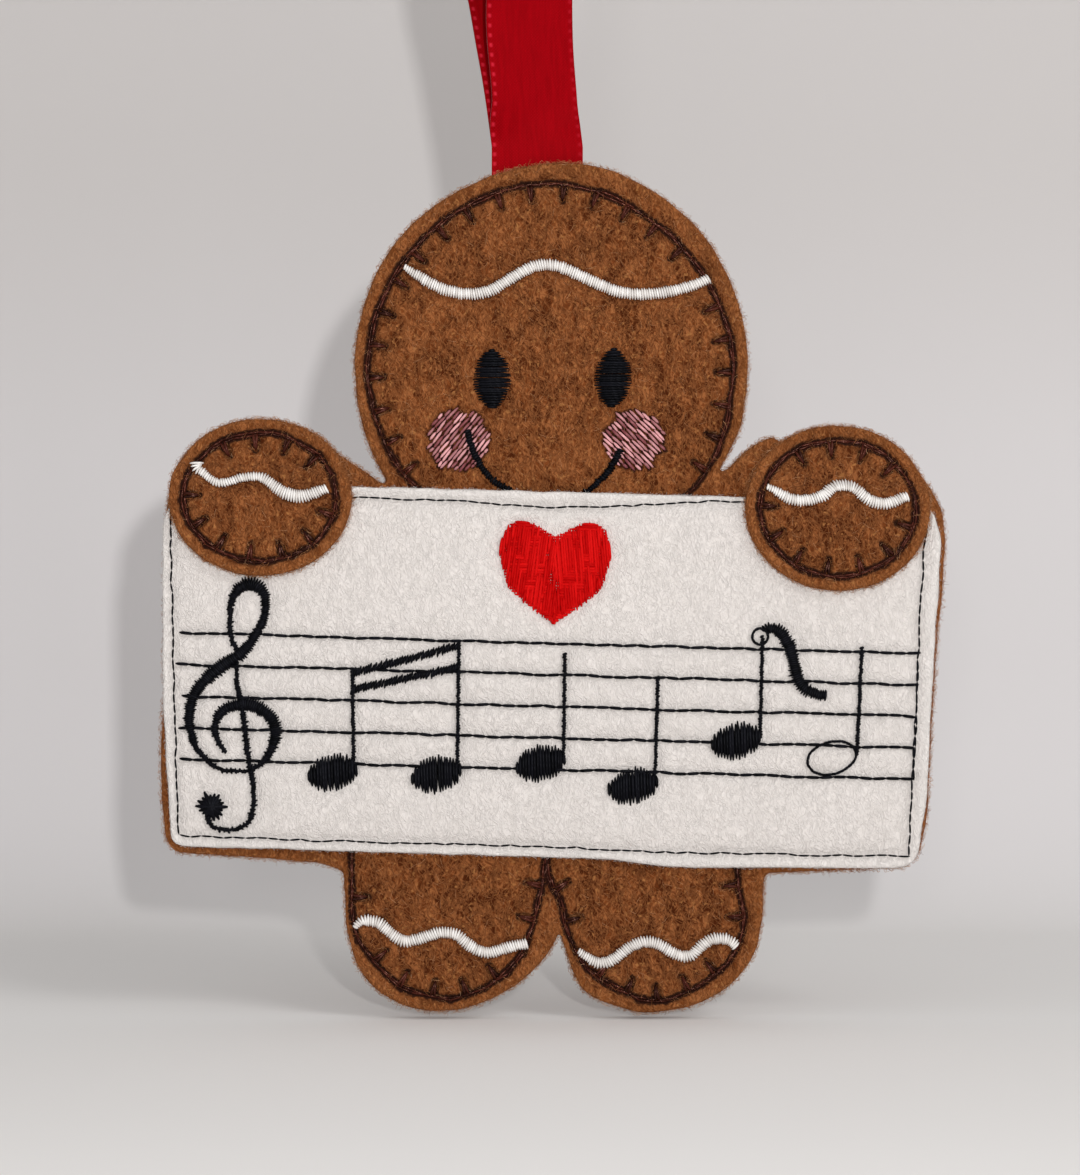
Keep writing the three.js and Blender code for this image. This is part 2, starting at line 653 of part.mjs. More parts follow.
// Treble clef, in shares of its height from its centre, with column widths as shares of the widest
const clefLoopShares = [
  [0.03, 0.216], [0.002, 0.239], [-0.011, 0.277], [-0.016, 0.33], [-0.017, 0.398], [0.003, 0.448],
  [0.054, 0.474], [0.098, 0.462], [0.12, 0.43], [0.122, 0.382], [0.11, 0.33], [0.088, 0.289],
];
const clefLoopWidthShares = [0.5, 0.5, 0.55, 0.65, 0.65, 0.7, 0.8, 0.7, 0.55, 0.55, 0.6, 0.6];
const clefCurlShares = [
  [0.114, 0.338], [0.095, 0.302], [0.07, 0.256], [0.041, 0.217], [-0.004, 0.185], [-0.049, 0.153],
  [-0.101, 0.106], [-0.145, 0.052], [-0.166, -0.01], [-0.169, -0.071], [-0.156, -0.124], [-0.139, -0.169],
  [-0.107, -0.206], [-0.068, -0.242], [-0.03, -0.258], [0.016, -0.26], [0.077, -0.255], [0.107, -0.239],
  [0.137, -0.215], [0.162, -0.168], [0.176, -0.123], [0.175, -0.077], [0.155, -0.039], [0.116, -0.01],
  [0.062, 0.008], [0.016, 0.003], [-0.029, -0.014], [-0.058, -0.053], [-0.065, -0.091], [-0.056, -0.129],
  [-0.04, -0.159], [-0.02, -0.185],
];
const clefCurlWidthShares = [
  0.55, 0.6, 0.65, 0.75, 0.8, 0.8, 0.85, 0.8, 0.75, 0.7, 0.6, 0.5, 0.4, 0.3, 0.28, 0.28, 0.28, 0.35, 0.55,
  0.8, 1, 1, 0.95, 0.9, 0.9, 0.8, 0.75, 0.65, 0.6, 0.5, 0.4, 0.3,
];
const clefStemShares = [
  [0.015, 0.168], [0.017, 0.094], [0.027, 0.049], [0.048, -0.042], [0.058, -0.126], [0.072, -0.209],
  [0.085, -0.262], [0.095, -0.346], [0.096, -0.407], [0.079, -0.461], [0.053, -0.482], [0.015, -0.493],
  [-0.031, -0.494], [-0.069, -0.476], [-0.085, -0.45],
];
const clefStemWidthShares = [
  0.3, 0.35, 0.4, 0.45, 0.5, 0.45, 0.42, 0.42, 0.42, 0.4, 0.35, 0.3, 0.3, 0.35, 0.45,
];
const clefDotShares = [-0.068, -0.404];

function trebleClef() {
  const clefX = clefInset - signHalfWidth;
  const onClef = (shares) => place(shares, clefHeight, clefHeight, clefX, -clefDrop);
  const column = (shares, widthShares, steps) => {
    const widths = widthShares.map((share) => share * clefWidth);
    return noteSlab(strip(new THREE.SplineCurve(onClef(shares)), widths, steps));
  };
  const [dotCentre] = onClef([clefDotShares]);
  return join([
    column(clefLoopShares, clefLoopWidthShares, icingSteps),
    column(clefCurlShares, clefCurlWidthShares, 2 * clefSteps),
    column(clefStemShares, clefStemWidthShares, clefSteps),
    noteSlab(noteEllipse(dotCentre, clefDotRadius, clefDotRadius, 0)),
  ]);
}

// The hand patches drape over the sign's top edge: flat on the sign, a ramp, flat on the panel
const rampStartZ = signTopZ + seatGap;
const rampEndZ = rampStartZ + drapeRun;

function drapedBand(backStep, frontStep) {
  const spread = signHalfHeight;
  const across = signHalfWidth + overrun;
  const side = (step) => [
    new THREE.Vector2(signFaceY - step, rampStartZ - spread),
    new THREE.Vector2(signFaceY - step, rampStartZ),
    new THREE.Vector2(panelFaceY - step, rampEndZ),
    new THREE.Vector2(panelFaceY - step, rampEndZ + spread),
  ];
  const profile = side(backStep).concat(side(frontStep).reverse());
  return bar(new THREE.Shape(profile), -across, across);
}

const throughSlab = (outline, holes) => slab(outline, overrun, signFaceY - overrun, holes);

function handPatch(name, hand) {
  const outline = ellipse(hand.x, signTopZ - hand.drop, hand.halfWidth, hand.halfHeight);
  const grooveFloorY = signFaceY - borderHeight - seatGap / 2;
  const borderGroove = borderSeam(signFaceY + overrun, grooveFloorY, borderWidth + 2 * seatGap, slab);
  const patch = throughSlab(outline).intersect(drapedBand(0, feltThickness)).subtract(borderGroove);
  return piece(name, patch, brownFelt);
}

function handSeam(name, hand, icingShares) {
  const { outer, inner, curve } = handSeamRing(hand);
  const stitches = ticks(curve, 1, keepOffEnds(onHand(icingShares, hand)), [0, 1]);
  const flat = join([throughSlab(outer, [inner]), ...stitches.map((outline) => throughSlab(outline))]);
  return piece(name, flat.intersect(drapedBand(feltThickness, feltThickness + seamHeight)), brownThread);
}

function handIcing(name, hand, shares) {
  const flat = throughSlab(icingStrip(onHand(shares, hand)));
  return piece(name, flat.intersect(drapedBand(feltThickness, feltThickness + icingHeight)), whiteThread);
}

// The face
const smileShares = [
  [-0.428, -0.347], [-0.393, -0.458], [-0.339, -0.551], [-0.258, -0.619], [-0.136, -0.679], [0, -0.7],
  [0.116, -0.682], [0.186, -0.644], [0.282, -0.551], [0.347, -0.443],
];
const leftEyeShares = [-0.302, -0.0815];
const rightEyeShares = [0.309, -0.077];
const leftCheekShares = [-0.473, -0.389];
const rightCheekShares = [0.416, -0.389];

function smileOutline(width) {
  return strip(new THREE.SplineCurve(onHead(smileShares)), [width], smileSteps);
}

const onPanel = (outline, height) => slab(outline, panelFaceY, panelFaceY - height);

function eye(name, shares) {
  const [centre] = onHead([shares]);
  const outline = ellipse(centre.x, centre.y, eyeHalfWidth, eyeHalfHeight, 0, icingSteps);
  return piece(name, onPanel(outline, fillHeight), blackThread);
}

function cheek(name, shares) {
  const [centre] = onHead([shares]);
  const disc = onPanel(ellipse(centre.x, centre.y, cheekRadius, cheekRadius, 0, icingSteps), cheekHeight);
  const smileSlot = slab(smileOutline(smileWidth + 2 * seatGap), panelFaceY + overrun, panelFaceY - overrun);
  return piece(name, largestBody(disc.subtract(smileSlot)), pinkThread);
}

// The heart, right half in shares of its half width and height from its tip, mirrored on the left
const heartShares = [
  [0, 0], [0.185, 0.066], [0.345, 0.125], [0.605, 0.236], [0.83, 0.345], [0.93, 0.515], [0.995, 0.66],
  [0.97, 0.8], [0.85, 0.943], [0.6, 0.993], [0.36, 0.947], [0.185, 0.895], [0, 0.845],
];

function heartOutline() {
  const right = smooth(place(heartShares, heartHalfWidth, heartHeight, 0, heartTipRise), heartSteps);
  const left = right.slice(1, -1).map((point) => new THREE.Vector2(-point.x, point.y)).reverse();
  return right.concat(left);
}

function signPanel() {
  const blank = slab(place(signShares, signHalfWidth, signHalfHeight), panelFaceY, signFaceY);
  const reliefY = panelFaceY - smileHeight - seatGap / 2;
  const relief = slabGeometry(smileOutline(smileWidth + 2 * seatGap), panelFaceY + overrun, reliefY);
  return piece("sign_panel", blank.subtract(toSolid(relief.rotateY(-signTilt))), whiteFelt);
}

// What the thread leaves on the back: the outline of the head, hands, legs and sign in one run
function backSeam() {
  const frontY = backFaceY;
  const backY = backFaceY + backThreadHeight;
  const rings = [leftHand, rightHand].map((hand) => {
    const { outer, inner } = handSeamRing(hand);
    return tiltedSlab(outer, backY, frontY, [inner]);
  });
  return piece(
    "back_seam",
    join([
      headSeam(backY, frontY, false),
      legSeams(backY, frontY, false),
      borderSeam(backY, frontY, seamWidth, tiltedSlab),
      ...rings,
    ]),
    brownThread,
  );
}

// The seams on the front stop at the sign
function frontSeam(name, makeSeam) {
  const whole = makeSeam(panelFaceY, panelFaceY - seamHeight, true);
  return piece(name, largestBody(whole.subtract(signKeepOut())), brownThread);
}

const icing = (name, points) => piece(name, onPanel(icingStrip(points), icingHeight), whiteThread);

// The figure in its own frame, whose origin is the sign's centre
const body = new THREE.Group();
body.add(piece("back_panel", figure(0, backFaceY, sheetBackY).subtract(ribbonPocket()), brownFelt));
body.add(piece("stabiliser_sheet", figure(seamInset, sheetBackY, sheetFrontY), sheetMaterial));
body.add(piece("front_panel", figure(0, sheetFrontY, panelFaceY), brownFelt));
body.add(ribbonEnds());
body.add(backSeam());
body.add(frontSeam("head_seam", headSeam));
body.add(frontSeam("leg_seam", legSeams));
body.add(icing("head_icing", onHead(headIcingShares)));
body.add(icing("left_foot_icing", onFoot(leftFootIcingShares, leftLegCentre)));
body.add(icing("right_foot_icing", onFoot(rightFootIcingShares, rightLegCentre)));
body.add(eye("left_eye", leftEyeShares));
body.add(eye("right_eye", rightEyeShares));
body.add(cheek("left_cheek", leftCheekShares));
body.add(cheek("right_cheek", rightCheekShares));
body.add(piece("smile", onPanel(smileOutline(smileWidth), smileHeight), blackThread));

const sign = new THREE.Group();
sign.rotation.y = signTilt;
sign.add(signPanel());
const border = borderSeam(signFaceY, signFaceY - borderHeight, borderWidth, slab);
sign.add(piece("sign_border_seam", border, blackThread));
staffLines.forEach((staffLine) => {
  const solid = slab(staffOutline(staffLine, 0), signFaceY, signFaceY - staffHeight);
  sign.add(piece("staff_line_" + (staffLine + 1), solid, blackThread));
});
sign.add(piece("treble_clef", overStaff(trebleClef()), blackThread));
sign.add(piece("beamed_notes", overStaff(beamedNotes()), blackThread));
sign.add(piece("third_note", overStaff(join(filledNote(noteShares.third))), blackThread));
sign.add(piece("fourth_note", overStaff(join(filledNote(noteShares.fourth))), blackThread));
sign.add(piece("eighth_note", overStaff(eighthNote()), blackThread));
sign.add(piece("half_note", overStaff(halfNote()), blackThread));
sign.add(piece("heart", slab(heartOutline(), signFaceY, signFaceY - fillHeight), redThread));
sign.add(handPatch("left_hand_patch", leftHand));
sign.add(handPatch("right_hand_patch", rightHand));
sign.add(handSeam("left_hand_seam", leftHand, leftHandIcingShares));
sign.add(handSeam("right_hand_seam", rightHand, rightHandIcingShares));
sign.add(handIcing("left_hand_icing", leftHand, leftHandIcingShares));
sign.add(handIcing("right_hand_icing", rightHand, rightHandIcingShares));
body.add(sign);
body.position.z = -loopHeight - hingeZ;

const loop = ribbonLoop();
loop.position.z = -loopHeight;

const ornament = new THREE.Group();
ornament.add(body, loop);

export default ornament;
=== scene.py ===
# %% [markdown]
# # A gingerbread ornament of felt, thread and ribbon
#
# The real object is flat: two layers of brown felt with a white felt sign sewn across them, all
# stitched by an embroidery machine, and a loop of satin ribbon caught in the top. In this lesson
# the felt is cut and pressed in, the threads are sewn strand by strand, and the ribbon is swept
# along its loop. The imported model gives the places, so nothing has to be fitted afterwards.

import math

import bmesh
import bpy
import numpy as np
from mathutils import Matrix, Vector, geometry, noise
from mathutils.kdtree import KDTree


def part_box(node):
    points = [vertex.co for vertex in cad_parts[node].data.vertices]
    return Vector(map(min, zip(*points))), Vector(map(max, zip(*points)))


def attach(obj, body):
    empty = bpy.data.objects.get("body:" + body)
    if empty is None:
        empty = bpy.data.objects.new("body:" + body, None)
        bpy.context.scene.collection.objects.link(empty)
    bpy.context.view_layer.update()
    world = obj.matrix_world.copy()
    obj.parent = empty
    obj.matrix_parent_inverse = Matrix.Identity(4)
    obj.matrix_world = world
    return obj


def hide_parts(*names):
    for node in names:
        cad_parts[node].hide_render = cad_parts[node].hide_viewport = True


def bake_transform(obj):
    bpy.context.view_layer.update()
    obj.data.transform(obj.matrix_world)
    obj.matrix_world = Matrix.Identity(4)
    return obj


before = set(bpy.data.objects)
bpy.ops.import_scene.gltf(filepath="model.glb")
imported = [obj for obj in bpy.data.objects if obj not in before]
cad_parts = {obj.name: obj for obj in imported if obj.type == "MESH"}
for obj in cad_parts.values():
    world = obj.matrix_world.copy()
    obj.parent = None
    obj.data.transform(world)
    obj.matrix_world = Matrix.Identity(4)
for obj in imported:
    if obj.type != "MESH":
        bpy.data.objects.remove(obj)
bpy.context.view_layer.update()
print("packed nodes:", len(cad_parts))

# %% [markdown]
# ## Camera
#
# The picture looks straight at the face of the ornament, from about a third of a metre. A lens of
# 93 mm has the same flat look as the picture, and keeps the sign's edges almost square.

# %% Camera
CAMERA_PLACE = (-0.0013, -0.333, -0.1184)
CAMERA_LENS = 93
CAMERA_NEAR = 0.01


def linked(name, data):
    """A new object in the scene that shows a mesh, a lamp or a camera."""
    made = bpy.data.objects.new(name, data)
    bpy.context.scene.collection.objects.link(made)
    return made


camera = linked("picture_camera", bpy.data.cameras.new("picture_camera"))
camera.location = CAMERA_PLACE
camera.rotation_euler = (math.pi / 2, 0, 0)
camera.data.lens = CAMERA_LENS
camera.data.clip_start = CAMERA_NEAR
bpy.context.scene.camera = camera
bpy.context.scene.view_settings.view_transform = "Standard"
print("camera stands at", CAMERA_PLACE)

# %% [markdown]
# ## Small helpers for node trees
#
# Shaders and geometry trees are both lists of nodes with values or links in their sockets. One
# helper that makes a node and feeds it keeps every recipe below readable.

# %% Node helpers
def add_node(tree, kind, feeds=None, **settings):
    """Make a node, set its settings, and feed its inputs with links or plain values."""
    made = tree.nodes.new(kind)
    for name, value in settings.items():
        setattr(made, name, value)
    for name, value in (feeds or {}).items():
        feed(tree, made.inputs[name], value)
    return made


def feed(tree, socket, value):
    if isinstance(value, bpy.types.NodeSocket):
        tree.links.new(value, socket)
    else:
        socket.default_value = value


def maths(tree, operation, first, second=0.0):
    return add_node(tree, "ShaderNodeMath", {0: first, 1: second}, operation=operation).outputs[0]


def times(tree, first, second):
    return maths(tree, "MULTIPLY", first, second)


def sine_wave(tree, reached, pitch):
    """A sine that comes round once in every pitch."""
    return maths(tree, "SINE", times(tree, reached, 2 * math.pi / pitch))


def vector_maths(tree, operation, feeds):
    return add_node(tree, "ShaderNodeVectorMath", feeds, operation=operation).outputs[0]


def new_material(name):
    """A material with an empty tree, and its surface output."""
    material = bpy.data.materials.new(name)
    material.use_nodes = True
    material.node_tree.nodes.clear()
    output = add_node(material.node_tree, "ShaderNodeOutputMaterial")
    return material, material.node_tree, output.inputs["Surface"]


def give_surface(tree, surface, looks):
    """One shader for the whole surface, with single values or links in its sockets."""
    shader = add_node(tree, "ShaderNodeBsdfPrincipled", looks)
    tree.links.new(shader.outputs[0], surface)


def mix_colours(tree, share, first, second):
    """A colour between two others. The node keeps its colours in sockets 6 and 7."""
    made = add_node(tree, "ShaderNodeMix", data_type="RGBA")
    feed(tree, made.inputs[0], share)
    feed(tree, made.inputs[6], first)
    feed(tree, made.inputs[7], second)
    return made.outputs[2]


def between(tree, value, low, high):
    """0 below low, 1 above high, and smooth in between."""
    made = add_node(tree, "ShaderNodeMapRange", {0: value, 1: low, 2: high}, interpolation_type="SMOOTHSTEP")
    return made.outputs[0]


def spread(tree, value, low, high):
    """A value from 0 to 1 spread out from low to high."""
    return add_node(tree, "ShaderNodeMapRange", {0: value, 3: low, 4: high}).outputs[0]


def attribute(tree, name):
    return add_node(tree, "ShaderNodeAttribute", attribute_name=name).outputs["Fac"]


def noise_texture(tree, place, scale, detail):
    """Cloudy values in the first output and cloudy colours in the second."""
    return add_node(tree, "ShaderNodeTexNoise", {"Vector": place, "Scale": scale, "Detail": detail}).outputs


def bumped(tree, height, strength, rise):
    """The direction of a surface that a height shapes."""
    feeds = {"Height": height, "Strength": strength, "Distance": rise}
    return add_node(tree, "ShaderNodeBump", feeds).outputs[0]


print("node helpers are ready")

# %% [markdown]
# ## Wall, table and light
#
# The ornament hangs in front of a pale board that meets the table in a soft bend, so there is no hard
# line behind the feet. The board stands far enough back for the ornament to swing. A small lamp at
# the right throws the shadow to the lower left, a weaker one on the left throws the pale second
# shadow, and both stand near the camera, so each shadow shows close beside what throws it. A large
# lamp high on the right shapes the stitches, and the world gives the rest. The board lets light and a
# camera behind it through, so the back can be looked at too.

# %% Wall and table
WALL_FOOT_Y = 0.115
WALL_LEAN = math.radians(2)
BEND_REACH = 0.035
BEND_STEPS = 32
TABLE_Z = -0.1656
ROOM_REACH = 3.0
WALL_COLOUR = (0.712, 0.687, 0.689, 1)
# Painted shade on the board: darker towards the top and to the left, where the lamps give less light.
WALL_TOP_PAINTED_SHADE_COLOUR = (0.626, 0.598, 0.587, 1)
WALL_PAINTED_SHADE_Z = (-0.11, -0.05)
WALL_PAINTED_SHADE_X = (-0.07, 0.07)
WALL_LEFT_PAINTED_SHADE_SHARE = 0.97
# The table is painted paler than the board, and the curve that brings its tone in evens out how the lamps
# light the table and the bend: painted light.
TABLE_COLOUR = (0.87, 0.845, 0.826, 1)
TABLE_PAINTED_LIGHT_POWER = 2.6


def room_material():
    """Pale paint with painted light: the table's paler tone where the surface faces up, the board's
    elsewhere, and painted shade that darkens it to the upper left.
    """
    material, tree, surface = new_material("room_paint_and_painted_light")
    place = add_node(tree, "ShaderNodeTexCoord").outputs["Object"]
    axes = add_node(tree, "ShaderNodeSeparateXYZ", {0: place}).outputs
    facing = add_node(tree, "ShaderNodeNewGeometry").outputs["Normal"]
    upward = add_node(tree, "ShaderNodeSeparateXYZ", {0: facing}).outputs["Z"]
    # Painted shade: darker towards the top.
    tone = mix_colours(tree, between(tree, axes["Z"], *WALL_PAINTED_SHADE_Z), WALL_COLOUR, WALL_TOP_PAINTED_SHADE_COLOUR)
    # Painted light: the paint turns to the table's paler tone only as the surface comes to face up. So the
    # bend, which catches more of the lamps, stays darker, and the table, which the lamps reach at a low
    # angle, is painted paler.
    slope = maths(tree, "ARCSINE", upward)
    flatness = add_node(tree, "ShaderNodeMapRange", {0: slope, 1: WALL_LEAN, 2: math.pi / 2}).outputs[0]
    tone = mix_colours(tree, maths(tree, "POWER", flatness, TABLE_PAINTED_LIGHT_POWER), tone, TABLE_COLOUR)
    # Painted shade: darker to the left.
    shade = spread(tree, between(tree, axes["X"], *WALL_PAINTED_SHADE_X), WALL_LEFT_PAINTED_SHADE_SHARE, 1.0)
    tone = vector_maths(tree, "SCALE", {0: tone, "Scale": shade})
    paint = add_node(tree, "ShaderNodeBsdfDiffuse", {"Color": tone})
    clear = add_node(tree, "ShaderNodeBsdfTransparent")
    seen = add_node(tree, "ShaderNodeLightPath").outputs["Is Camera Ray"]
    behind = add_node(tree, "ShaderNodeNewGeometry").outputs["Backfacing"]
    feeds = {0: times(tree, seen, behind), 1: paint.outputs[0], 2: clear.outputs[0]}
    mixed = add_node(tree, "ShaderNodeMixShader", feeds)
    tree.links.new(mixed.outputs[0], surface)
    return material


def room_strip(name, profile, material):
    """A wide strip of faces along a profile given as Y and Z."""
    mesh = bpy.data.meshes.new(name)
    points = [(side * ROOM_REACH, y, z) for y, z in profile for side in (-1, 1)]
    faces = [(2 * row, 2 * row + 1, 2 * row + 3, 2 * row + 2) for row in range(len(profile) - 1)]
    mesh.from_pydata(points, [], faces)
    mesh.materials.append(material)
    mesh.shade_smooth()
    strip = linked(name, mesh)
    return strip


def bend_profile():
    """The soft bend from the table up to the leaning board."""
    up_wall = np.array([math.sin(WALL_LEAN), math.cos(WALL_LEAN)])
    foot = np.array([WALL_FOOT_Y, TABLE_Z])
    t = np.linspace(0, 1, BEND_STEPS)[:, None]
    on_table = foot - (BEND_REACH, 0)
    on_wall = foot + BEND_REACH * up_wall
    bend = (1 - t) ** 2 * on_table + 2 * t * (1 - t) * foot + t**2 * on_wall
    return bend, foot + ROOM_REACH * up_wall


room_paint_and_painted_light = room_material()
room_bend, wall_top = bend_profile()
room_strip("room_table", [(-ROOM_REACH, TABLE_Z), *room_bend], room_paint_and_painted_light)
wall = room_strip("room_wall", [room_bend[-1], wall_top], room_paint_and_painted_light)
wall.visible_shadow = False
wall.visible_diffuse = False
print("the board meets the table at y", WALL_FOOT_Y)

# %% Lamps and world
KEY_PLACE = (0.0216, -0.35, -0.0886)
KEY_WATTS = 0.57
KEY_SIZE = 0.008
SIDE_PLACE = (-0.032, -0.5, -0.075)
SIDE_WATTS = 0.17
SIDE_SIZE = 0.03
HIGH_PLACE = (0.5, -0.6, 0.4)
HIGH_WATTS = 1.8
HIGH_SIZE = 0.35
WORLD_STRENGTH = 0.5
WORLD_COLOUR = (1.0, 1.0, 1.0, 1)
LAMP_TARGET = Vector((0, 0, -0.125))


def soft_lamp(name, place, watts, size):
    lamp = linked(name, bpy.data.lights.new(name, "AREA"))
    lamp.data.energy = watts
    lamp.data.size = size
    lamp.location = place
    lamp.rotation_euler = (LAMP_TARGET - Vector(place)).to_track_quat("-Z", "Y").to_euler()


soft_lamp("key_lamp", KEY_PLACE, KEY_WATTS, KEY_SIZE)
soft_lamp("side_lamp", SIDE_PLACE, SIDE_WATTS, SIDE_SIZE)
soft_lamp("high_lamp", HIGH_PLACE, HIGH_WATTS, HIGH_SIZE)
world = bpy.data.worlds.new("soft_world")
world.use_nodes = True
world.node_tree.nodes["Background"].inputs["Color"].default_value = WORLD_COLOUR
world.node_tree.nodes["Background"].inputs["Strength"].default_value = WORLD_STRENGTH
bpy.context.scene.world = world
print("lamps are up")

# %% [markdown]
# ## Red satin ribbon
#
# Satin ribbon is woven with long floating threads along its length, so it shines, with fine ribs
# across and a row of tiny woven loops inside each edge. The loop goes up, over and down again and
# turns a quarter on its way. A strip of faces swept along that path holds all of it. The rule of the
# imported model gives the path, and the front leg sways and curls a little more, as in the picture.

# %% Satin material
# The two satin reds are painted sheen: cloudy streaks along the ribbon go from one to the other.
SATIN_DARK = (0.225, 0.0004, 0.0024, 1)
SATIN_BRIGHT = (0.28, 0.0006, 0.0032, 1)
SATIN_GLOSS_TINT = (1.0, 0.12, 0.12, 1)
SATIN_BUMP = 0.25
SATIN_BUMP_RISE = 0.00005
RIBBON_WIDTH = 0.010
RIB_PITCH = 0.00034
SPECK_SPAN = (0.3, 0.95)
SPECK_HIGHLIGHT_SHARE = 0.2
STREAKS_ACROSS = 2600.0
STREAKS_ALONG = 260.0
STREAK_DETAIL = 2.0
STREAK_SPAN = (0.2, 0.8)
STREAK_RISE = 0.3
# A brighter red painted on the edge loops and on the weave's raised crossings: painted highlight.
SATIN_HIGHLIGHT_RED = (0.5, 0.014, 0.03, 1)
SELVEDGE_PITCH = 0.00105
SELVEDGE_INSET = 0.00032
SELVEDGE_HALF_WIDTH = 0.0002
SELVEDGE_FADE = 1.6
SELVEDGE_LOOP_SPAN = (-0.2, 0.9)
SELVEDGE_MIDDLE_SPAN = (-0.001, 0.001)
RIGHT_SELVEDGE_SHADE_SHARE = 0.35


def selvedge_highlight_mask(tree, along, across):
    """1 on the tiny loops that run inside each edge of the ribbon, where the painted highlight goes, and
    less on the right-hand edge, which lies in shade.
    """
    edge = maths(tree, "SUBTRACT", RIBBON_WIDTH / 2 - SELVEDGE_INSET, maths(tree, "ABSOLUTE", across))
    away = between(tree, maths(tree, "ABSOLUTE", edge), 0.0, SELVEDGE_HALF_WIDTH * SELVEDGE_FADE)
    near = maths(tree, "SUBTRACT", 1.0, away)
    wave = sine_wave(tree, along, SELVEDGE_PITCH)
    loops = times(tree, near, between(tree, wave, *SELVEDGE_LOOP_SPAN))
    # Painted shade: the loops of the right-hand edge get only part of the highlight.
    side = spread(tree, between(tree, across, *SELVEDGE_MIDDLE_SPAN), 1.0, RIGHT_SELVEDGE_SHADE_SHARE)
    return times(tree, loops, side)


def satin_material():
    material, tree, surface = new_material("red_satin_weave")
    along = attribute(tree, "along")
    across = attribute(tree, "across")
    stretched = {0: times(tree, across, STREAKS_ACROSS), 1: times(tree, along, STREAKS_ALONG)}
    place = add_node(tree, "ShaderNodeCombineXYZ", stretched).outputs[0]
    streak = noise_texture(tree, place, 1.0, STREAK_DETAIL)[0]
    weave = times(tree, sine_wave(tree, along, RIB_PITCH), sine_wave(tree, across, RIB_PITCH))
    # Painted sheen: streaks along the ribbon between the darker and the brighter red.
    tone = mix_colours(tree, between(tree, streak, *STREAK_SPAN), SATIN_DARK, SATIN_BRIGHT)
    # Painted highlight on the weave's raised crossings, then on the edge loops.
    speck_highlight = times(tree, between(tree, weave, *SPECK_SPAN), SPECK_HIGHLIGHT_SHARE)
    tone = mix_colours(tree, speck_highlight, tone, SATIN_HIGHLIGHT_RED)
    tone = mix_colours(tree, selvedge_highlight_mask(tree, along, across), tone, SATIN_HIGHLIGHT_RED)
    height = maths(tree, "ADD", weave, times(tree, streak, STREAK_RISE))
    looks = {
        "Base Color": tone,
        "Roughness": 0.45,
        "Specular IOR Level": 0.06,
        "Specular Tint": SATIN_GLOSS_TINT,
        "Normal": bumped(tree, height, SATIN_BUMP, SATIN_BUMP_RISE),
    }
    give_surface(tree, surface, looks)
    return material


red_satin = satin_material()
print("made", red_satin.name)

# %% Ribbon path
RIBBON_THICKNESS = 0.0003
RIBBON_ROOT_X = -0.0016
BACK_SWAY = 0.0034
FRONT_SWAY = 0.0036
LOOP_HEIGHT = 0.070
LOOP_REACH = 0.0095
LEG_POWER = 1.5
TWIST_HEIGHT = 0.050
CURL_TURN = math.radians(20)
CURL_RISE = 0.005
CURL_FADE = (0.004, 0.018)
HINGE_Y = 0.0003
ROOT_SPREAD = 0.0003
ENDS_SPREAD = 0.00015
ENDS_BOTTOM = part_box("ribbon_ends")[0].z
ROOT_BLEND = 0.003
PATH_STEPS = 520
TRIES_PER_STEP = 6


def smoothstep(value, low, high):
    share = np.clip((value - low) / (high - low), 0, 1)
    return share * share * (3 - 2 * share)


def lengths_along(line):
    """How far along a line each of its points is."""
    return np.concatenate([[0], np.cumsum(np.linalg.norm(np.diff(line, axis=0), axis=1))])


def ribbon_section(travel):
    """Centre of the ribbon and its crosswise direction, where travel goes from 0 to 1."""
    leg = abs(ENDS_BOTTOM + LOOP_HEIGHT)
    span = leg + LOOP_HEIGHT
    reached = travel * 2 * span
    side = 1 if reached <= span else -1
    below = leg - (reached if side > 0 else 2 * span - reached)
    if below > 0:
        pinch = smoothstep(below, 0, ROOT_BLEND)
        gap = ROOT_SPREAD + (ENDS_SPREAD - ROOT_SPREAD) * pinch
        return np.array([RIBBON_ROOT_X, HINGE_Y + side * gap, -LOOP_HEIGHT - below]), np.array([1.0, 0, 0])
    turn = math.pi * (reached - leg) / LOOP_HEIGHT
    centre_height = LOOP_HEIGHT + RIBBON_THICKNESS / 2
    height = centre_height * (1 - math.cos(turn)) / 2
    share = height / centre_height
    reach = LOOP_REACH * math.sin(turn) * abs(math.sin(turn / 2)) ** LEG_POWER
    gap = reach + ROOT_SPREAD * math.cos(turn / 2)
    curl = smoothstep(height, 0, CURL_RISE) * (1 - smoothstep(height, *CURL_FADE)) if side < 0 else 0.0
    twist = math.pi / 2 * smoothstep(height, 0, TWIST_HEIGHT) + CURL_TURN * curl
    sway = FRONT_SWAY if side < 0 else BACK_SWAY
    middle = RIBBON_ROOT_X * (1 - share) - sway * math.sin(math.pi * share)
    outward = np.array([-math.sin(twist), math.cos(twist), 0])
    centre = np.array([middle, HINGE_Y, height - LOOP_HEIGHT]) + outward * gap
    return centre, np.array([math.cos(twist), math.sin(twist), 0])


def even_travel(count):
    """Travel shares that lie evenly along the ribbon, and the ribbon's whole length."""
    tries = np.linspace(0, 1, TRIES_PER_STEP * count)
    reached = lengths_along([ribbon_section(share)[0] for share in tries])
    return np.interp(np.linspace(0, reached[-1], count), reached, tries), reached[-1]


travel_shares, ribbon_length = even_travel(PATH_STEPS)
print("ribbon cut length in mm:", round(ribbon_length * 1000, 1))

# %% Weave the ribbon strip
ACROSS_SHARES = (-1, -0.985, -0.95, -0.91, -0.87, -0.8, -0.65, -0.5, -0.33, -0.17, 0)
SELVEDGE_RISE = 0.00007
RIPPLE_RISE = 0.00012
RIPPLE_PITCH = 0.011


def selvedge_rise(reached, across):
    edge = abs(RIBBON_WIDTH / 2 - SELVEDGE_INSET - abs(across))
    wave = max(0.0, math.sin(2 * math.pi * reached / SELVEDGE_PITCH))
    return SELVEDGE_RISE * wave * max(0.0, 1 - edge / (2 * SELVEDGE_HALF_WIDTH))


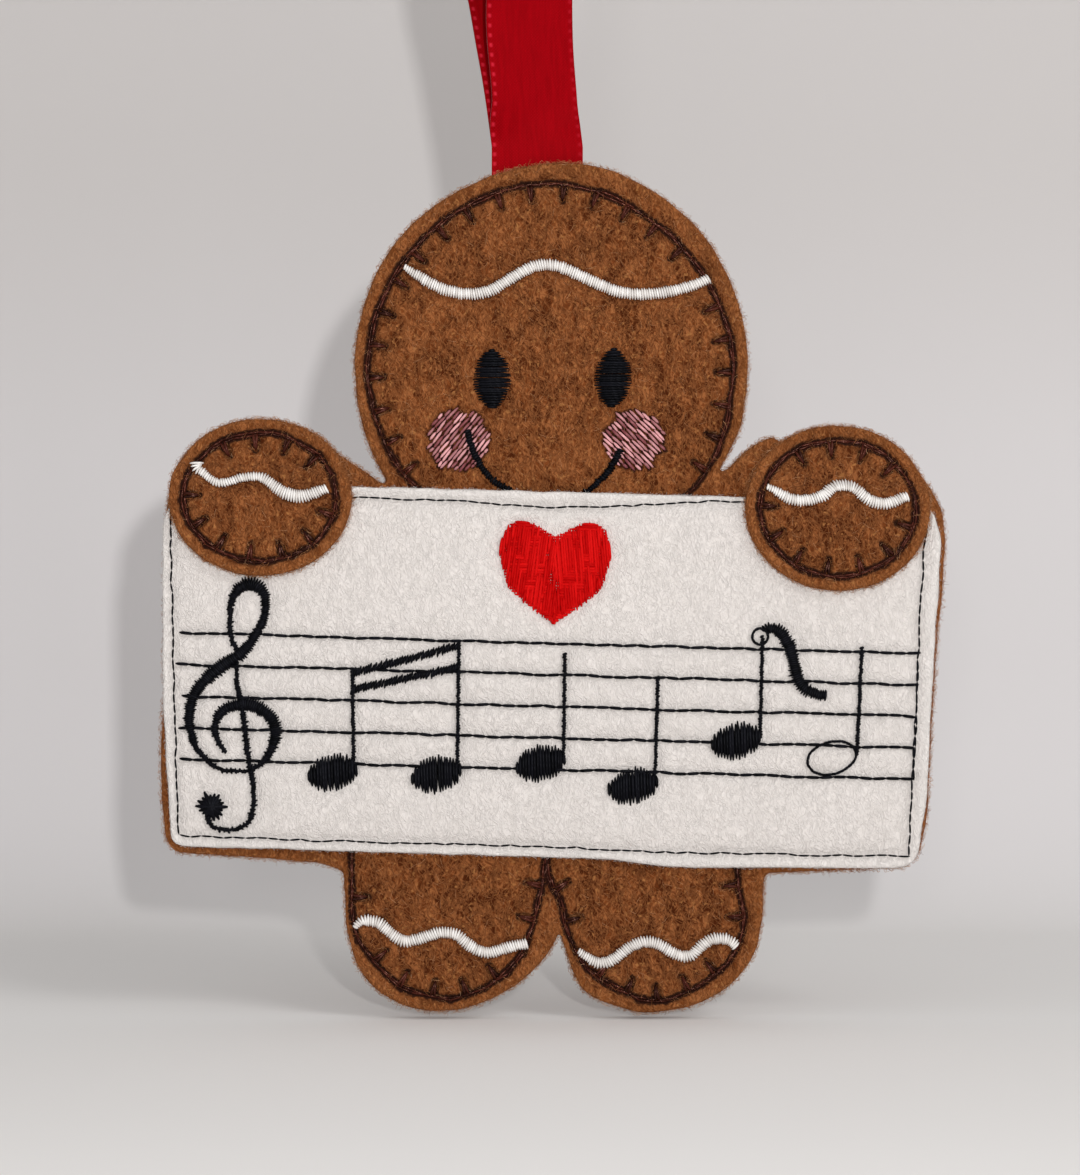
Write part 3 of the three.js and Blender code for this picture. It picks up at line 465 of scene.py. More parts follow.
def ribbon_mesh():
    shares = ACROSS_SHARES + tuple(-share for share in reversed(ACROSS_SHARES[:-1]))
    centres, acrosses = map(np.array, zip(*[ribbon_section(share) for share in travel_shares]))
    tangents = np.gradient(centres, axis=0)
    normals = np.cross(tangents, acrosses)
    normals /= np.linalg.norm(normals, axis=1)[:, None]
    points, along, across = [], [], []
    ring = len(shares) * 2
    for step in range(PATH_STEPS):
        reached = ribbon_length * step / (PATH_STEPS - 1)
        ripple = RIPPLE_RISE * math.sin(2 * math.pi * reached / RIPPLE_PITCH)
        for face, row in ((1, shares), (-1, tuple(reversed(shares)))):
            for share in row:
                place = share * RIBBON_WIDTH / 2
                rise = face * (RIBBON_THICKNESS / 2 + selvedge_rise(reached, place)) + ripple * share * share
                points.append(centres[step] + acrosses[step] * place + normals[step] * rise)
                along.append(reached)
                across.append(place)
    last = (PATH_STEPS - 1) * ring
    faces = []
    for start in range(0, last, ring):
        for side in range(ring):
            ahead = (side + 1) % ring
            faces.append((start + side, start + ahead, start + ring + ahead, start + ring + side))
    faces += [tuple(range(ring))[::-1], tuple(range(last, last + ring))]
    return points, faces, {"along": along, "across": across}


def store_floats(mesh, floats):
    """Keep values for every point of a mesh, under the names that materials and trees ask for."""
    for name, values in floats.items():
        stored = mesh.attributes.new(name, "FLOAT", "POINT")
        stored.data.foreach_set("value", np.asarray(values, np.float32))


def plain_object(name, points, faces, floats, material):
    """A mesh object at the origin, with its float attributes and smooth faces."""
    mesh = bpy.data.meshes.new(name)
    mesh.from_pydata([tuple(point) for point in points], [], faces)
    store_floats(mesh, floats)
    mesh.materials.append(material)
    mesh.shade_smooth()
    return linked(name, mesh)


def turn_faces_outwards(made):
    work = bmesh.new()
    work.from_mesh(made.data)
    bmesh.ops.recalc_face_normals(work, faces=work.faces)
    work.to_mesh(made.data)
    work.free()


satin_ribbon = plain_object("satin_ribbon", *ribbon_mesh(), red_satin)
turn_faces_outwards(satin_ribbon)
print("ribbon faces:", len(satin_ribbon.data.polygons))

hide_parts("ribbon_loop", "ribbon_ends")
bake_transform(satin_ribbon)
print("the ribbon bends at z", -LOOP_HEIGHT)

# %% [markdown]
# ## Where everything lies
#
# The layers are stacked like cards: back panel, stabiliser, front panel, sign, hand patches. Each
# has its own plane along Y. Shapes are drawn flat, in X and Z about the sign's centre, and then
# put on their plane. The sign and the hands are turned a little clockwise, as they were sewn.

# %% Planes and places
FELT_THICKNESS = 0.0013
SHEET_THICKNESS = 0.00025
BACK_FACE_Y = FELT_THICKNESS
SHEET_FRONT_Y = -SHEET_THICKNESS
PANEL_FACE_Y = SHEET_FRONT_Y - FELT_THICKNESS
SIGN_FACE_Y = PANEL_FACE_Y - FELT_THICKNESS
SIGN_CENTRE_Z = -0.127875
SIGN_TILT = math.radians(1.6)
SIGN_HALF_WIDTH = 0.042
SIGN_HALF_HEIGHT = 0.0199
HEAD_RADIUS = 0.0216
HEAD_CENTRE_Z = SIGN_HALF_HEIGHT + 0.0141
DRAPE_START_Z = SIGN_HALF_HEIGHT + 0.0003
DRAPE_RUN = 0.0025
HANDS = {
    "left": {"x": -0.0322, "drop": 0.0015, "half_width": 0.00995, "half_height": 0.00855},
    "right": {"x": 0.0305, "drop": 0.00095, "half_width": 0.01005, "half_height": 0.009},
}


def turned(points, angle):
    """Flat points turned clockwise, as seen from the front."""
    points = np.asarray(points, float)
    cosine, sine = math.cos(angle), math.sin(angle)
    return points @ np.array([[cosine, -sine], [sine, cosine]])


def in_place(shares, half_width, half_height, centre=(0, 0)):
    """Shares of two half sizes, as flat points round a centre."""
    return np.asarray(shares, float) * (half_width, half_height) + centre


def to_world(points, tilt):
    return turned(points, tilt) + (0, SIGN_CENTRE_Z)


def from_world(points, tilt):
    return turned(np.asarray(points, float) - (0, SIGN_CENTRE_Z), -tilt)


def hand_back_y(points):
    """Y of a hand's back: on the sign, then on the panel above it, with a soft step between."""
    height = from_world(points, SIGN_TILT)[:, 1]
    on_panel = smoothstep(height, DRAPE_START_Z, DRAPE_START_Z + DRAPE_RUN)
    return SIGN_FACE_Y + (PANEL_FACE_Y - SIGN_FACE_Y) * on_panel


def hand_front_y(points):
    return hand_back_y(points) - FELT_THICKNESS


print("the sign's face lies at y", SIGN_FACE_Y)

# %% [markdown]
# ## Smooth lines from a few points
#
# Every seam and outline is kept as a few points in shares of what carries it. A Catmull-Rom line
# passes through all of them, and it is then measured, so that stitches can be set out evenly.

# %% Line helpers
LINE_SAMPLES = 14
OVAL_POINTS = 72


def smooth_line(points):
    """A smooth line through the points, and how far along the points each sample is."""
    points = np.asarray(points, float)
    last = len(points) - 1
    reached = np.linspace(0, last, last * LINE_SAMPLES + 1)
    index = np.minimum(reached.astype(int), last - 1)
    t = (reached - index)[:, None]
    before, start, end, after = (points[np.clip(index + offset, 0, last)] for offset in (-1, 0, 1, 2))
    curve = 2 * before - 5 * start + 4 * end - after
    bend = 3 * start - before - 3 * end + after
    return start + 0.5 * t * ((end - before) + t * (curve + t * bend)), reached / last


def at_lengths(line, lengths, goals):
    """The points of a flat line at given lengths along it."""
    return np.stack([np.interp(goals, lengths, line[:, axis]) for axis in (0, 1)], axis=1)


def evenly(points, spacing, widths=(1.0,)):
    """Points, tangents and widths at even steps along a smooth line."""
    line, shares = smooth_line(points)
    lengths = lengths_along(line)
    count = max(2, int(round(lengths[-1] / spacing)) + 1)
    goals = np.linspace(0, lengths[-1], count)
    placed = at_lengths(line, lengths, goals)
    tangents = np.gradient(placed, axis=0)
    tangents /= np.linalg.norm(tangents, axis=1)[:, None]
    width_places = np.linspace(0, 1, len(widths))
    return placed, tangents, np.interp(np.interp(goals, lengths, shares), width_places, widths)


def across_line(tangents):
    """Unit vectors to the left of a line's direction."""
    return np.stack([-tangents[:, 1], tangents[:, 0]], axis=1)


def ellipse(centre, half_width, half_height, tilt=0.0, count=OVAL_POINTS):
    turn = np.linspace(0, 2 * math.pi, count, endpoint=False)
    ring = np.stack([half_width * np.cos(turn), half_height * np.sin(turn)], axis=1)
    return turned(ring, -tilt) + centre


def nearest(points, marks):
    """How far each point is from the nearest mark."""
    tree = KDTree(len(marks))
    for index, (across, up) in enumerate(marks):
        tree.insert((across, up, 0), index)
    tree.balance()
    return np.array([tree.find((across, up, 0))[2] for across, up in points])


print("line helpers are ready")

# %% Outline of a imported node
OUTLINE_STEP = 0.00036
SOFTENING = 2
FLAT_SHARE = 0.99
WELD_REACH = 1e-6
PLANE_REACH = 1e-5


def front_outline(node):
    """The longest edge loop round the front of a packed flat node, in X and Z.

    Edges are kept in a dict, which remembers their order, so that every run finds the same loop.
    """
    work = bmesh.new()
    work.from_mesh(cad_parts[node].data)
    bmesh.ops.remove_doubles(work, verts=work.verts, dist=WELD_REACH)
    work.normal_update()
    front = min(vertex.co.y for vertex in work.verts)
    following = {}
    for face in work.faces:
        if face.normal.y > -FLAT_SHARE or abs(face.calc_center_median().y - front) > PLANE_REACH:
            continue
        for corner in face.loops:
            following[(corner.vert.index, corner.link_loop_next.vert.index)] = True
    borders = {start: end for start, end in following if (end, start) not in following}
    places = [(vertex.co.x, vertex.co.z) for vertex in work.verts]
    work.free()
    loops = []
    while borders:
        start, end = borders.popitem()
        loop = [start]
        while end != start:
            loop.append(end)
            end = borders.pop(end)
        loops.append([places[index] for index in loop])
    print(node, "has", len(loops), "outline loops")
    return np.array(max(loops, key=len))


def closed_up(points):
    return np.vstack([points, points[:1]])


def even_outline(points, soften=SOFTENING):
    """A closed outline at even steps, counterclockwise from the front, with its facets softened."""
    closed = closed_up(points)
    lengths = lengths_along(closed)
    goals = np.linspace(0, lengths[-1], int(lengths[-1] / OUTLINE_STEP), endpoint=False)
    placed = at_lengths(closed, lengths, goals)
    for _ in range(soften):
        placed = (np.roll(placed, 1, axis=0) + 2 * placed + np.roll(placed, -1, axis=0)) / 4
    return placed if outline_area(placed) > 0 else placed[::-1]


def outline_area(points):
    ahead = np.roll(points, -1, axis=0)
    return 0.5 * float(np.sum(points[:, 0] * ahead[:, 1] - ahead[:, 0] * points[:, 1]))


def outline_normals(points):
    """Unit vectors that point out of a counterclockwise outline."""
    along = np.roll(points, -1, axis=0) - np.roll(points, 1, axis=0)
    along /= np.linalg.norm(along, axis=1)[:, None]
    return np.stack([along[:, 1], -along[:, 0]], axis=1)


def is_inside(points, outline):
    """Which points lie inside a closed outline."""
    ahead = np.roll(outline, -1, axis=0)
    inside = np.zeros(len(points), bool)
    for start, end in zip(outline, ahead):
        crosses = (start[1] > points[:, 1]) != (end[1] > points[:, 1])
        if crosses.any():
            rise = (points[crosses, 1] - start[1]) / (end[1] - start[1])
            inside[crosses] ^= points[crosses, 0] < start[0] + rise * (end[0] - start[0])
    return inside


print("outline helpers are ready")

# %% [markdown]
# ## The drawn lines: seams, icing and outlines
#
# These are the lines that the embroidery machine follows. They are used twice: the felt sinks
# where they pass, and later the thread is laid along them.

# %% Seam and icing lines
LEG_HALF_WIDTH = 0.0113
LEG_HEIGHT = 0.017
CROTCH_X = 0.0005
LEG_SPREAD = 1.0265
LEG_OFFSET = LEG_SPREAD * LEG_HALF_WIDTH
LEG_CENTRES = {"left": CROTCH_X - LEG_OFFSET, "right": CROTCH_X + LEG_OFFSET}
SEAM_INSET = 0.0016
RING_POINTS = 24

HEAD_SEAM_SHARES = (
    0.97, 0.955, 0.926, 0.91, 0.89, 0.88, 0.892, 0.906, 0.903, 0.903, 0.911, 0.927, 0.935, 0.938, 0.945,
)
HEAD_SEAM_FIRST = math.radians(-55)
HEAD_SEAM_LAST = math.radians(235)
LEG_SEAM_SHARES = {
    "left": [
        (-0.954, 0.12), (-0.954, -0.268), (-0.954, -0.382), (-0.912, -0.513), (-0.798, -0.624),
        (-0.573, -0.793), (-0.404, -0.859), (-0.038, -0.915), (0.273, -0.859), (0.584, -0.718),
        (0.766, -0.513), (0.851, -0.287), (0.9, -0.14), (0.95, 0.12),
    ],
    "right": [
        (-1.13, 0.12), (-1.095, -0.14), (-1, -0.27), (-0.901, -0.513), (-0.732, -0.718), (-0.449, -0.849),
        (-0.167, -0.924), (0.002, -0.928), (0.34, -0.84), (0.622, -0.69), (0.721, -0.588), (0.778, -0.457),
        (0.778, -0.326), (0.736, -0.196), (0.707, 0.12),
    ],
}
HEAD_ICING_SHARES = [
    (-0.742, 0.484), (-0.7, 0.456), (-0.662, 0.433), (-0.595, 0.393), (-0.527, 0.366), (-0.447, 0.35),
    (-0.366, 0.352), (-0.298, 0.372), (-0.231, 0.413), (-0.164, 0.453), (-0.096, 0.487), (-0.015, 0.498),
    (0.052, 0.483), (0.119, 0.453), (0.2, 0.415), (0.281, 0.379), (0.362, 0.355), (0.443, 0.348),
    (0.523, 0.352), (0.618, 0.366), (0.713, 0.393), (0.79, 0.425),
]
FOOT_ICING_SHARES = {
    "left": [
        (-0.915, -0.452), (-0.86, -0.418), (-0.798, -0.41), (-0.686, -0.429), (-0.573, -0.494),
        (-0.452, -0.545), (-0.291, -0.528), (-0.096, -0.487), (0.062, -0.503), (0.161, -0.56),
        (0.327, -0.618), (0.499, -0.597), (0.6, -0.577), (0.735, -0.562),
    ],
    "right": [
        (-0.808, -0.608), (-0.73, -0.648), (-0.65, -0.678), (-0.575, -0.686), (-0.478, -0.662),
        (-0.365, -0.605), (-0.252, -0.56), (-0.139, -0.546), (-0.026, -0.569), (0.087, -0.616),
        (0.186, -0.643), (0.284, -0.634), (0.368, -0.578), (0.481, -0.531), (0.594, -0.528),
        (0.67, -0.55), (0.705, -0.575),
    ],
}
HAND_ICING_SHARES = {
    "left": [
        (-0.706, 0.41), (-0.7, 0.345), (-0.631, 0.292), (-0.565, 0.23), (-0.477, 0.169), (-0.392, 0.167),
        (-0.284, 0.205), (-0.176, 0.247), (-0.047, 0.26), (0.04, 0.237), (0.128, 0.164), (0.239, 0.078),
        (0.347, 0.032), (0.455, 0.022), (0.561, 0.057), (0.72, 0.13),
    ],
    "right": [
        (-0.76, 0.235), (-0.649, 0.169), (-0.575, 0.122), (-0.485, 0.085), (-0.377, 0.077), (-0.27, 0.101),
        (-0.164, 0.144), (-0.093, 0.217), (-0.023, 0.269), (0.084, 0.282), (0.174, 0.255), (0.249, 0.178),
        (0.322, 0.11), (0.413, 0.073), (0.501, 0.065), (0.592, 0.092), (0.68, 0.141), (0.74, 0.16),
    ],
}
SMILE_SHARES = [
    (-0.428, -0.347), (-0.393, -0.458), (-0.339, -0.551), (-0.258, -0.619), (-0.136, -0.679), (0, -0.7),
    (0.116, -0.682), (0.186, -0.644), (0.282, -0.551), (0.347, -0.443),
]
EYE_SHARES = {"left": (-0.302, -0.0815), "right": (0.309, -0.077)}
CHEEK_SHARES = {"left": (-0.473, -0.389), "right": (0.416, -0.389)}


def on_head(shares):
    return in_place(shares, HEAD_RADIUS, HEAD_RADIUS, (0, HEAD_CENTRE_Z))


def on_foot(shares, side):
    return in_place(shares, LEG_HALF_WIDTH, LEG_HEIGHT, (LEG_CENTRES[side], -SIGN_HALF_HEIGHT))


def hand_centre(side):
    return HANDS[side]["x"], SIGN_HALF_HEIGHT - HANDS[side]["drop"]


def on_hand(shares, side):
    return in_place(shares, HANDS[side]["half_width"], HANDS[side]["half_height"], hand_centre(side))


def head_seam_points():
    turns = np.linspace(HEAD_SEAM_FIRST, HEAD_SEAM_LAST, len(HEAD_SEAM_SHARES))
    radii = np.array(HEAD_SEAM_SHARES)[:, None]
    return on_head(radii * np.stack([np.cos(turns), np.sin(turns)], axis=1))


def hand_seam_points(side):
    half_width = HANDS[side]["half_width"] - SEAM_INSET
    half_height = HANDS[side]["half_height"] - SEAM_INSET
    return ellipse(hand_centre(side), half_width, half_height, count=RING_POINTS)


print("seams and icing lines are drawn")

# %% Sign lines
SIGN_SHARES = [
    (-1.02, 0.79), (-0.985, 0.955), (-0.93, 0.997), (0, 1), (0.93, 1), (0.978, 0.955), (0.999, 0.796),
    (0.9886, 0.129), (0.983, -0.245), (0.981, -0.576), (0.962, -0.93), (0.948, -0.985), (0.9, -1.01),
    (0.6, -1.022), (0.32, -1.035), (0.17, -1.003), (-0.13, -1), (-0.59, -0.997), (-0.955, -0.997),
    (-0.975, -0.97), (-0.984, -0.74), (-1.007, -0.2), (-1.018, 0.57),
]
BORDER_CORNERS = {
    "top_left": (-0.996, 0.93),
    "top_right": (0.963, 0.98),
    "bottom_right": (0.938, -0.937),
    "bottom_left": (-0.955, -0.936),
}
BORDER_SIDES = {
    "top": [
        BORDER_CORNERS["top_left"], (-0.54, 0.935), (-0.284, 0.934), (-0.077, 0.919), (0, 0.914),
        (0.133, 0.923), (0.27, 0.952), (0.479, 0.974), BORDER_CORNERS["top_right"],
    ],
    "right": [BORDER_CORNERS["top_right"], (0.953, 0.67), (0.943, -0.25), BORDER_CORNERS["bottom_right"]],
    "bottom": [
        BORDER_CORNERS["bottom_right"], (0.476, -0.95), (0.17, -0.951), (0, -0.939), (-0.588, -0.942),
        BORDER_CORNERS["bottom_left"],
    ],
    "left": [
        BORDER_CORNERS["bottom_left"], (-0.961, -0.74), (-0.976, -0.194), (-0.994, 0.57),
        BORDER_CORNERS["top_left"],
    ],
}
STAFF_PITCH = 0.00343
STAFF_MIDDLE_Z = -0.00345
STAFF_LINES = range(5)
STAFF_LEFT_MARGINS = (0.0006, 0.00012, 0.0007, 0.0002, 0.00035)
STAFF_RIGHT_MARGIN = 0.0001


def on_sign(shares):
    return in_place(shares, SIGN_HALF_WIDTH, SIGN_HALF_HEIGHT)


def staff_height(line):
    return STAFF_MIDDLE_Z + (2 - line) * STAFF_PITCH


def border_side_at(top, bottom, height):
    share = (height / SIGN_HALF_HEIGHT - top[1]) / (bottom[1] - top[1])
    return (top[0] + (bottom[0] - top[0]) * share) * SIGN_HALF_WIDTH


def staff_points(line):
    height = staff_height(line)
    left = border_side_at(BORDER_CORNERS["top_left"], BORDER_CORNERS["bottom_left"], height)
    right = border_side_at(BORDER_CORNERS["top_right"], BORDER_CORNERS["bottom_right"], height)
    return [(left + STAFF_LEFT_MARGINS[line], height), (right - STAFF_RIGHT_MARGIN, height)]


print("sign lines are drawn")

# %% [markdown]
# ## Kinds of stitches
#
# The machine uses four: satin columns, where the thread runs side to side across a line; fills,
# where rows of thread cover a shape; running stitches along a line; and single ticks. Each helper
# below returns its stitches as rows of flat numbers: both ends, how high the stitch arches, how
# thick it is and how deep its ends sit.

# %% Stitch helpers
SINK = 0.0001
SHALLOW_SINK = 0.00003
POINT_POWER = 0.22
UNBROKEN = 1.0
NARROW_LIFT_SHARE = 0.6
COLUMN_LIFTS = (0.95, 1.06)
COLUMN_RADII = (0.93, 1.07)
COLUMN_TEETH = (0.2, 1.0)
FILL_TEETH = (0.3, 1.0)
FIRST_STITCHES = (0.25, 1.0)
LAST_STITCH_SHARE = 0.3
ROW_DRIFT = 0.2
LIFTS = (0.85, 1.15)


def rows(starts, ends, lift, radius, sink):
    """Stitch rows: x and z of both ends, arch, radius and depth of the ends."""
    count = len(starts)
    facts = [np.broadcast_to(np.asarray(value, float), count) for value in (lift, radius, sink)]
    return np.column_stack([starts, ends, *facts])


def pointed(centre, half_width, half_height, tilt=0.0):
    """An upright oval whose top and bottom are more pointed than an ellipse's."""
    turn = np.linspace(0, 2 * math.pi, OVAL_POINTS, endpoint=False)
    across = np.cos(turn) * np.abs(np.cos(turn)) ** POINT_POWER
    return turned(np.stack([half_width * across, half_height * np.sin(turn)], axis=1), tilt) + centre


def satin_column(points, widths, chance, pitch, radius, lift, ragged, tooth=0.0, lean=0.0):
    """Strands side to side across a line. Every second one can reach out further, as a tooth."""
    line, tangents, width = evenly(points, pitch, widths)
    left = across_line(tangents)
    half = width / 2
    teeth = tooth * (np.arange(len(line)) % 2) * chance.uniform(*COLUMN_TEETH, len(line))
    top = half + teeth + chance.uniform(-ragged, ragged, len(line))
    bottom = half + teeth + chance.uniform(-ragged, ragged, len(line))
    slide = tangents * (pitch / 2)
    starts = line + left * top[:, None] + tangents * (lean * half)[:, None] - slide / 2
    ends = line - left * bottom[:, None] - tangents * (lean * half)[:, None] + slide / 2
    wide_share = (1 - NARROW_LIFT_SHARE) * width / width.max()
    arch = lift * (NARROW_LIFT_SHARE + wide_share) * chance.uniform(*COLUMN_LIFTS, len(line))
    return rows(starts, ends, arch, radius * chance.uniform(*COLUMN_RADII, len(line)), SINK)


def crossings(outline, height):
    """Where a level line enters and leaves an outline."""
    ahead = np.roll(outline, -1, axis=0)
    cut = (outline[:, 1] > height) != (ahead[:, 1] > height)
    start, end = outline[cut], ahead[cut]
    share = (height - start[:, 1]) / (end[:, 1] - start[:, 1])
    return np.sort(start[:, 0] + share * (end[:, 0] - start[:, 0])).reshape(-1, 2)


def fill_rows(outline, angle, chance, pitch, radius, lift, ragged, longest=UNBROKEN, tooth=0.0):
    """Rows of thread across a shape, at an angle, broken into stitches no longer than longest."""
    level_outline = turned(outline, angle)
    low, high = level_outline[:, 1].min(), level_outline[:, 1].max()
    starts, ends = [], []
    for row, height in enumerate(np.arange(low + pitch / 2, high, pitch)):
        for enter, leave in crossings(level_outline, height):
            reach = tooth * (row % 2) * chance.uniform(*FILL_TEETH)
            enter -= reach + chance.uniform(-ragged, ragged)
            leave += reach + chance.uniform(-ragged, ragged)
            first = enter + longest * chance.uniform(*FIRST_STITCHES)
            stops = [enter, *np.arange(first, leave - LAST_STITCH_SHARE * longest, longest), leave]
            for start, end in zip(stops, stops[1:]):
                drift = chance.uniform(-ROW_DRIFT, ROW_DRIFT, 2) * pitch
                starts.append((start, height + drift[0]))
                ends.append((end, height + drift[1]))
    starts = turned(np.array(starts), -angle)
    ends = turned(np.array(ends), -angle)
    return rows(starts, ends, lift * chance.uniform(*LIFTS, len(starts)), radius, SINK)


def running(points, chance, length, radius, lift, sway, overlap, sink=SHALLOW_SINK):
    """Stitches end to end along a line. Each reaches past its ends by a share of its length."""
    line, _, _ = evenly(points, length)
    line = line + chance.uniform(-sway, sway, line.shape)
    past = (line[1:] - line[:-1]) * overlap
    starts = line[:-1] - past
    ends = line[1:] + past
    return rows(starts, ends, lift * chance.uniform(*LIFTS, len(starts)), radius, sink)


print("satin columns, fills and running stitches are ready")

# %% [markdown]
# ## Planning the thread work
#
# An embroidery file lists every stitch before the machine starts. The plans below do the same: each
# piece of thread work keeps its stitches, the surface that it lies on, its thread and how hard it
# presses the felt. The felt is cut and pressed from the plans, and sewn afterwards.

# %% Surfaces and plans
def panel_surface(points):
    return np.full(len(points), PANEL_FACE_Y), -1.0, 0.0


def sign_surface(points):
    return np.full(len(points), SIGN_FACE_Y), -1.0, SIGN_TILT


def hand_surface(points):
    return hand_front_y(to_world(points, SIGN_TILT)), -1.0, SIGN_TILT


def back_surface(points):
    return np.full(len(points), BACK_FACE_Y), 1.0, 0.0


thread_plans = {}
chance = np.random.default_rng(101)


def plan(node, stitches, surface, slot, press):
    """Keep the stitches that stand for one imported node."""
    stitches = np.vstack(stitches)
    thread_plans[node + "_thread"] = {
        "node": node, "stitches": stitches, "surface": surface, "slot": slot, "press": press,
    }
    print(node, "has", len(stitches), "stitches")


# %% [markdown]
# ## Brown seams with blanket ticks
#
# The outline stitch is a double line of dark brown thread, sunk in the felt, with a short tick
# every few millimetres that points inwards. It is drawn as two rows of running stitches side by
# side, and the same lines without ticks are what shows on the back.

# %% Seams
SEAM_SINK = 0.00045
SEAM_THREAD = {
    "length": 0.0014, "radius": 0.00013, "lift": 0.0001, "sway": 0.00013, "overlap": 0.1, "sink": SEAM_SINK,
}
SEAM_SIDE = 0.00009
SEAM_SKIP = 6
TICK_LENGTH = 0.0018
TICK_SPACING = 0.0037
TICK_MARGIN = 0.0012
TICK_RADIUS = 0.00017
TICK_LIFT = 0.00046
TICK_LIFTS = (0.75, 1.15)
TICK_SPREAD = 1.4
PIT_SHARES = (0.3, 0.55, 0.8)
ICING_WIDTH = 0.0012
FINE_STEP = 0.0001
TICK_EXTENTS = {"head": (0.055, 0.955), "left": (0.1, 0.93), "right": (0.09, 0.93)}
UNDER_SIGN_SHARE = 0.985


def tick_lines(points, keep_off, extent=(0, 1)):
    """Root and tip of each blanket tick along a seam, clear of the ends of the icing."""
    line, tangents, _ = evenly(points, FINE_STEP)
    first, last = (int(share * (len(line) - 1)) for share in extent)
    count = round((last - first) * FINE_STEP / TICK_SPACING)
    found = []
    for tick in range(count):
        index = first + int((tick + 0.5) / count * (last - first))
        inward = across_line(tangents[index : index + 1])[0]
        root = line[index]
        tip = root + inward * TICK_LENGTH
        clear = TICK_MARGIN + ICING_WIDTH / 2
        if all(min(math.dist(end, root), math.dist(end, tip)) >= clear for end in keep_off):
            found.append((root, tip))
    return np.array(found)


def tick_rows(ticks, chance):
    """Two strands for each tick, apart at the seam and together at the tip."""
    roots, ends = ticks[:, 0], ticks[:, 1]
    side = across_line(ends - roots) / TICK_LENGTH * TICK_RADIUS * TICK_SPREAD
    starts = np.vstack([roots + side, roots - side])
    lift = TICK_LIFT * chance.uniform(*TICK_LIFTS, len(starts))
    return rows(starts, np.vstack([ends, ends]), lift, TICK_RADIUS, SEAM_SINK)


def tick_pits(ticks):
    """Marks where each tick's needle holes pull the felt in."""
    return np.vstack([ticks[:, 0] + (ticks[:, 1] - ticks[:, 0]) * share for share in PIT_SHARES])


def seam_rows(points, chance, ticks=None):
    """A doubled seam line, with its ticks where it has them."""
    line, tangents, _ = evenly(points, FINE_STEP)
    left = across_line(tangents)
    parts = [
        running((line + left * side)[::SEAM_SKIP], chance, **SEAM_THREAD) for side in (SEAM_SIDE, -SEAM_SIDE)
    ]
    return np.vstack(parts if ticks is None else parts + [tick_rows(ticks, chance)])


def above_sign(stitches):
    """Stitches on the panel that the sign doesn't cover, with those that reach just under its edge."""
    middles = (stitches[:, 0:2] + stitches[:, 2:4]) / 2
    covered = even_outline(on_sign(SIGN_SHARES) * UNDER_SIGN_SHARE)
    return stitches[~is_inside(turned(middles, -SIGN_TILT), covered)]


head_seam = head_seam_points()
head_icing = on_head(HEAD_ICING_SHARES)
head_ticks = tick_lines(head_seam, head_icing[[0, -1]], TICK_EXTENTS["head"])
leg_seams = {side: on_foot(LEG_SEAM_SHARES[side], side) for side in LEG_SEAM_SHARES}
foot_icings = {side: on_foot(FOOT_ICING_SHARES[side], side) for side in FOOT_ICING_SHARES}
leg_ticks = {
    side: tick_lines(leg_seams[side], foot_icings[side][[0, -1]], TICK_EXTENTS[side]) for side in leg_seams
}
hand_seams = {side: closed_up(hand_seam_points(side)) for side in HANDS}
hand_icings = {side: on_hand(HAND_ICING_SHARES[side], side) for side in HANDS}
hand_ticks = {side: tick_lines(hand_seams[side], hand_icings[side][[0, -1]]) for side in HANDS}
sign_border = [corner for side in BORDER_SIDES.values() for corner in side[:-1]]

head_parts = [above_sign(seam_rows(head_seam, chance, head_ticks))]
plan("head_seam", head_parts, panel_surface, "brown_thread", "seam")
leg_parts = [above_sign(seam_rows(leg_seams[side], chance, leg_ticks[side])) for side in leg_seams]
plan("leg_seam", leg_parts, panel_surface, "brown_thread", "seam")
for side in HANDS:
    parts = [seam_rows(hand_seams[side], chance, hand_ticks[side])]
    plan(side + "_hand_seam", parts, hand_surface, "brown_thread", "seam")
tilted_seams = [closed_up(on_sign(sign_border)), *hand_seams.values()]
back_lines = [head_seam, *leg_seams.values()] + [turned(points, SIGN_TILT) for points in tilted_seams]
plan("back_seam", [seam_rows(points, chance) for points in back_lines], back_surface, "brown_thread", "seam")

# %% [markdown]
# ## Icing, face and heart
#
# The icing lines are satin columns. The eyes are filled with level rows, the cheeks with open rows
# that slant, and the heart with upright rows over an underlay of level ones, so no white shows.

# %% Icing
ICING_THREAD = {"pitch": 0.000275, "radius": 0.000138, "lift": 0.00042, "ragged": 0.00006}
ICING_TAPER = (0.55, 0.95, 1, 1, 1, 1, 1, 1, 1, 0.85)
HAND_TAPERS = {"left": (1.15, 0.72, 0.7, 0.72, 0.75, 0.8, 0.95, 1.15, 1.1, 0.85), "right": ICING_TAPER}


def plan_icing(node, points, surface, shares=ICING_TAPER):
    """One line of icing. The shares of its width taper it from end to end."""
    widths = [share * ICING_WIDTH for share in shares]
    stitches = satin_column(points, widths, chance, **ICING_THREAD)
    plan(node, [stitches], surface, "white_thread", "icing")


plan_icing("head_icing", head_icing, panel_surface)
for side in HANDS:
    plan_icing(side + "_foot_icing", foot_icings[side], panel_surface)
    plan_icing(side + "_hand_icing", hand_icings[side], hand_surface, HAND_TAPERS[side])

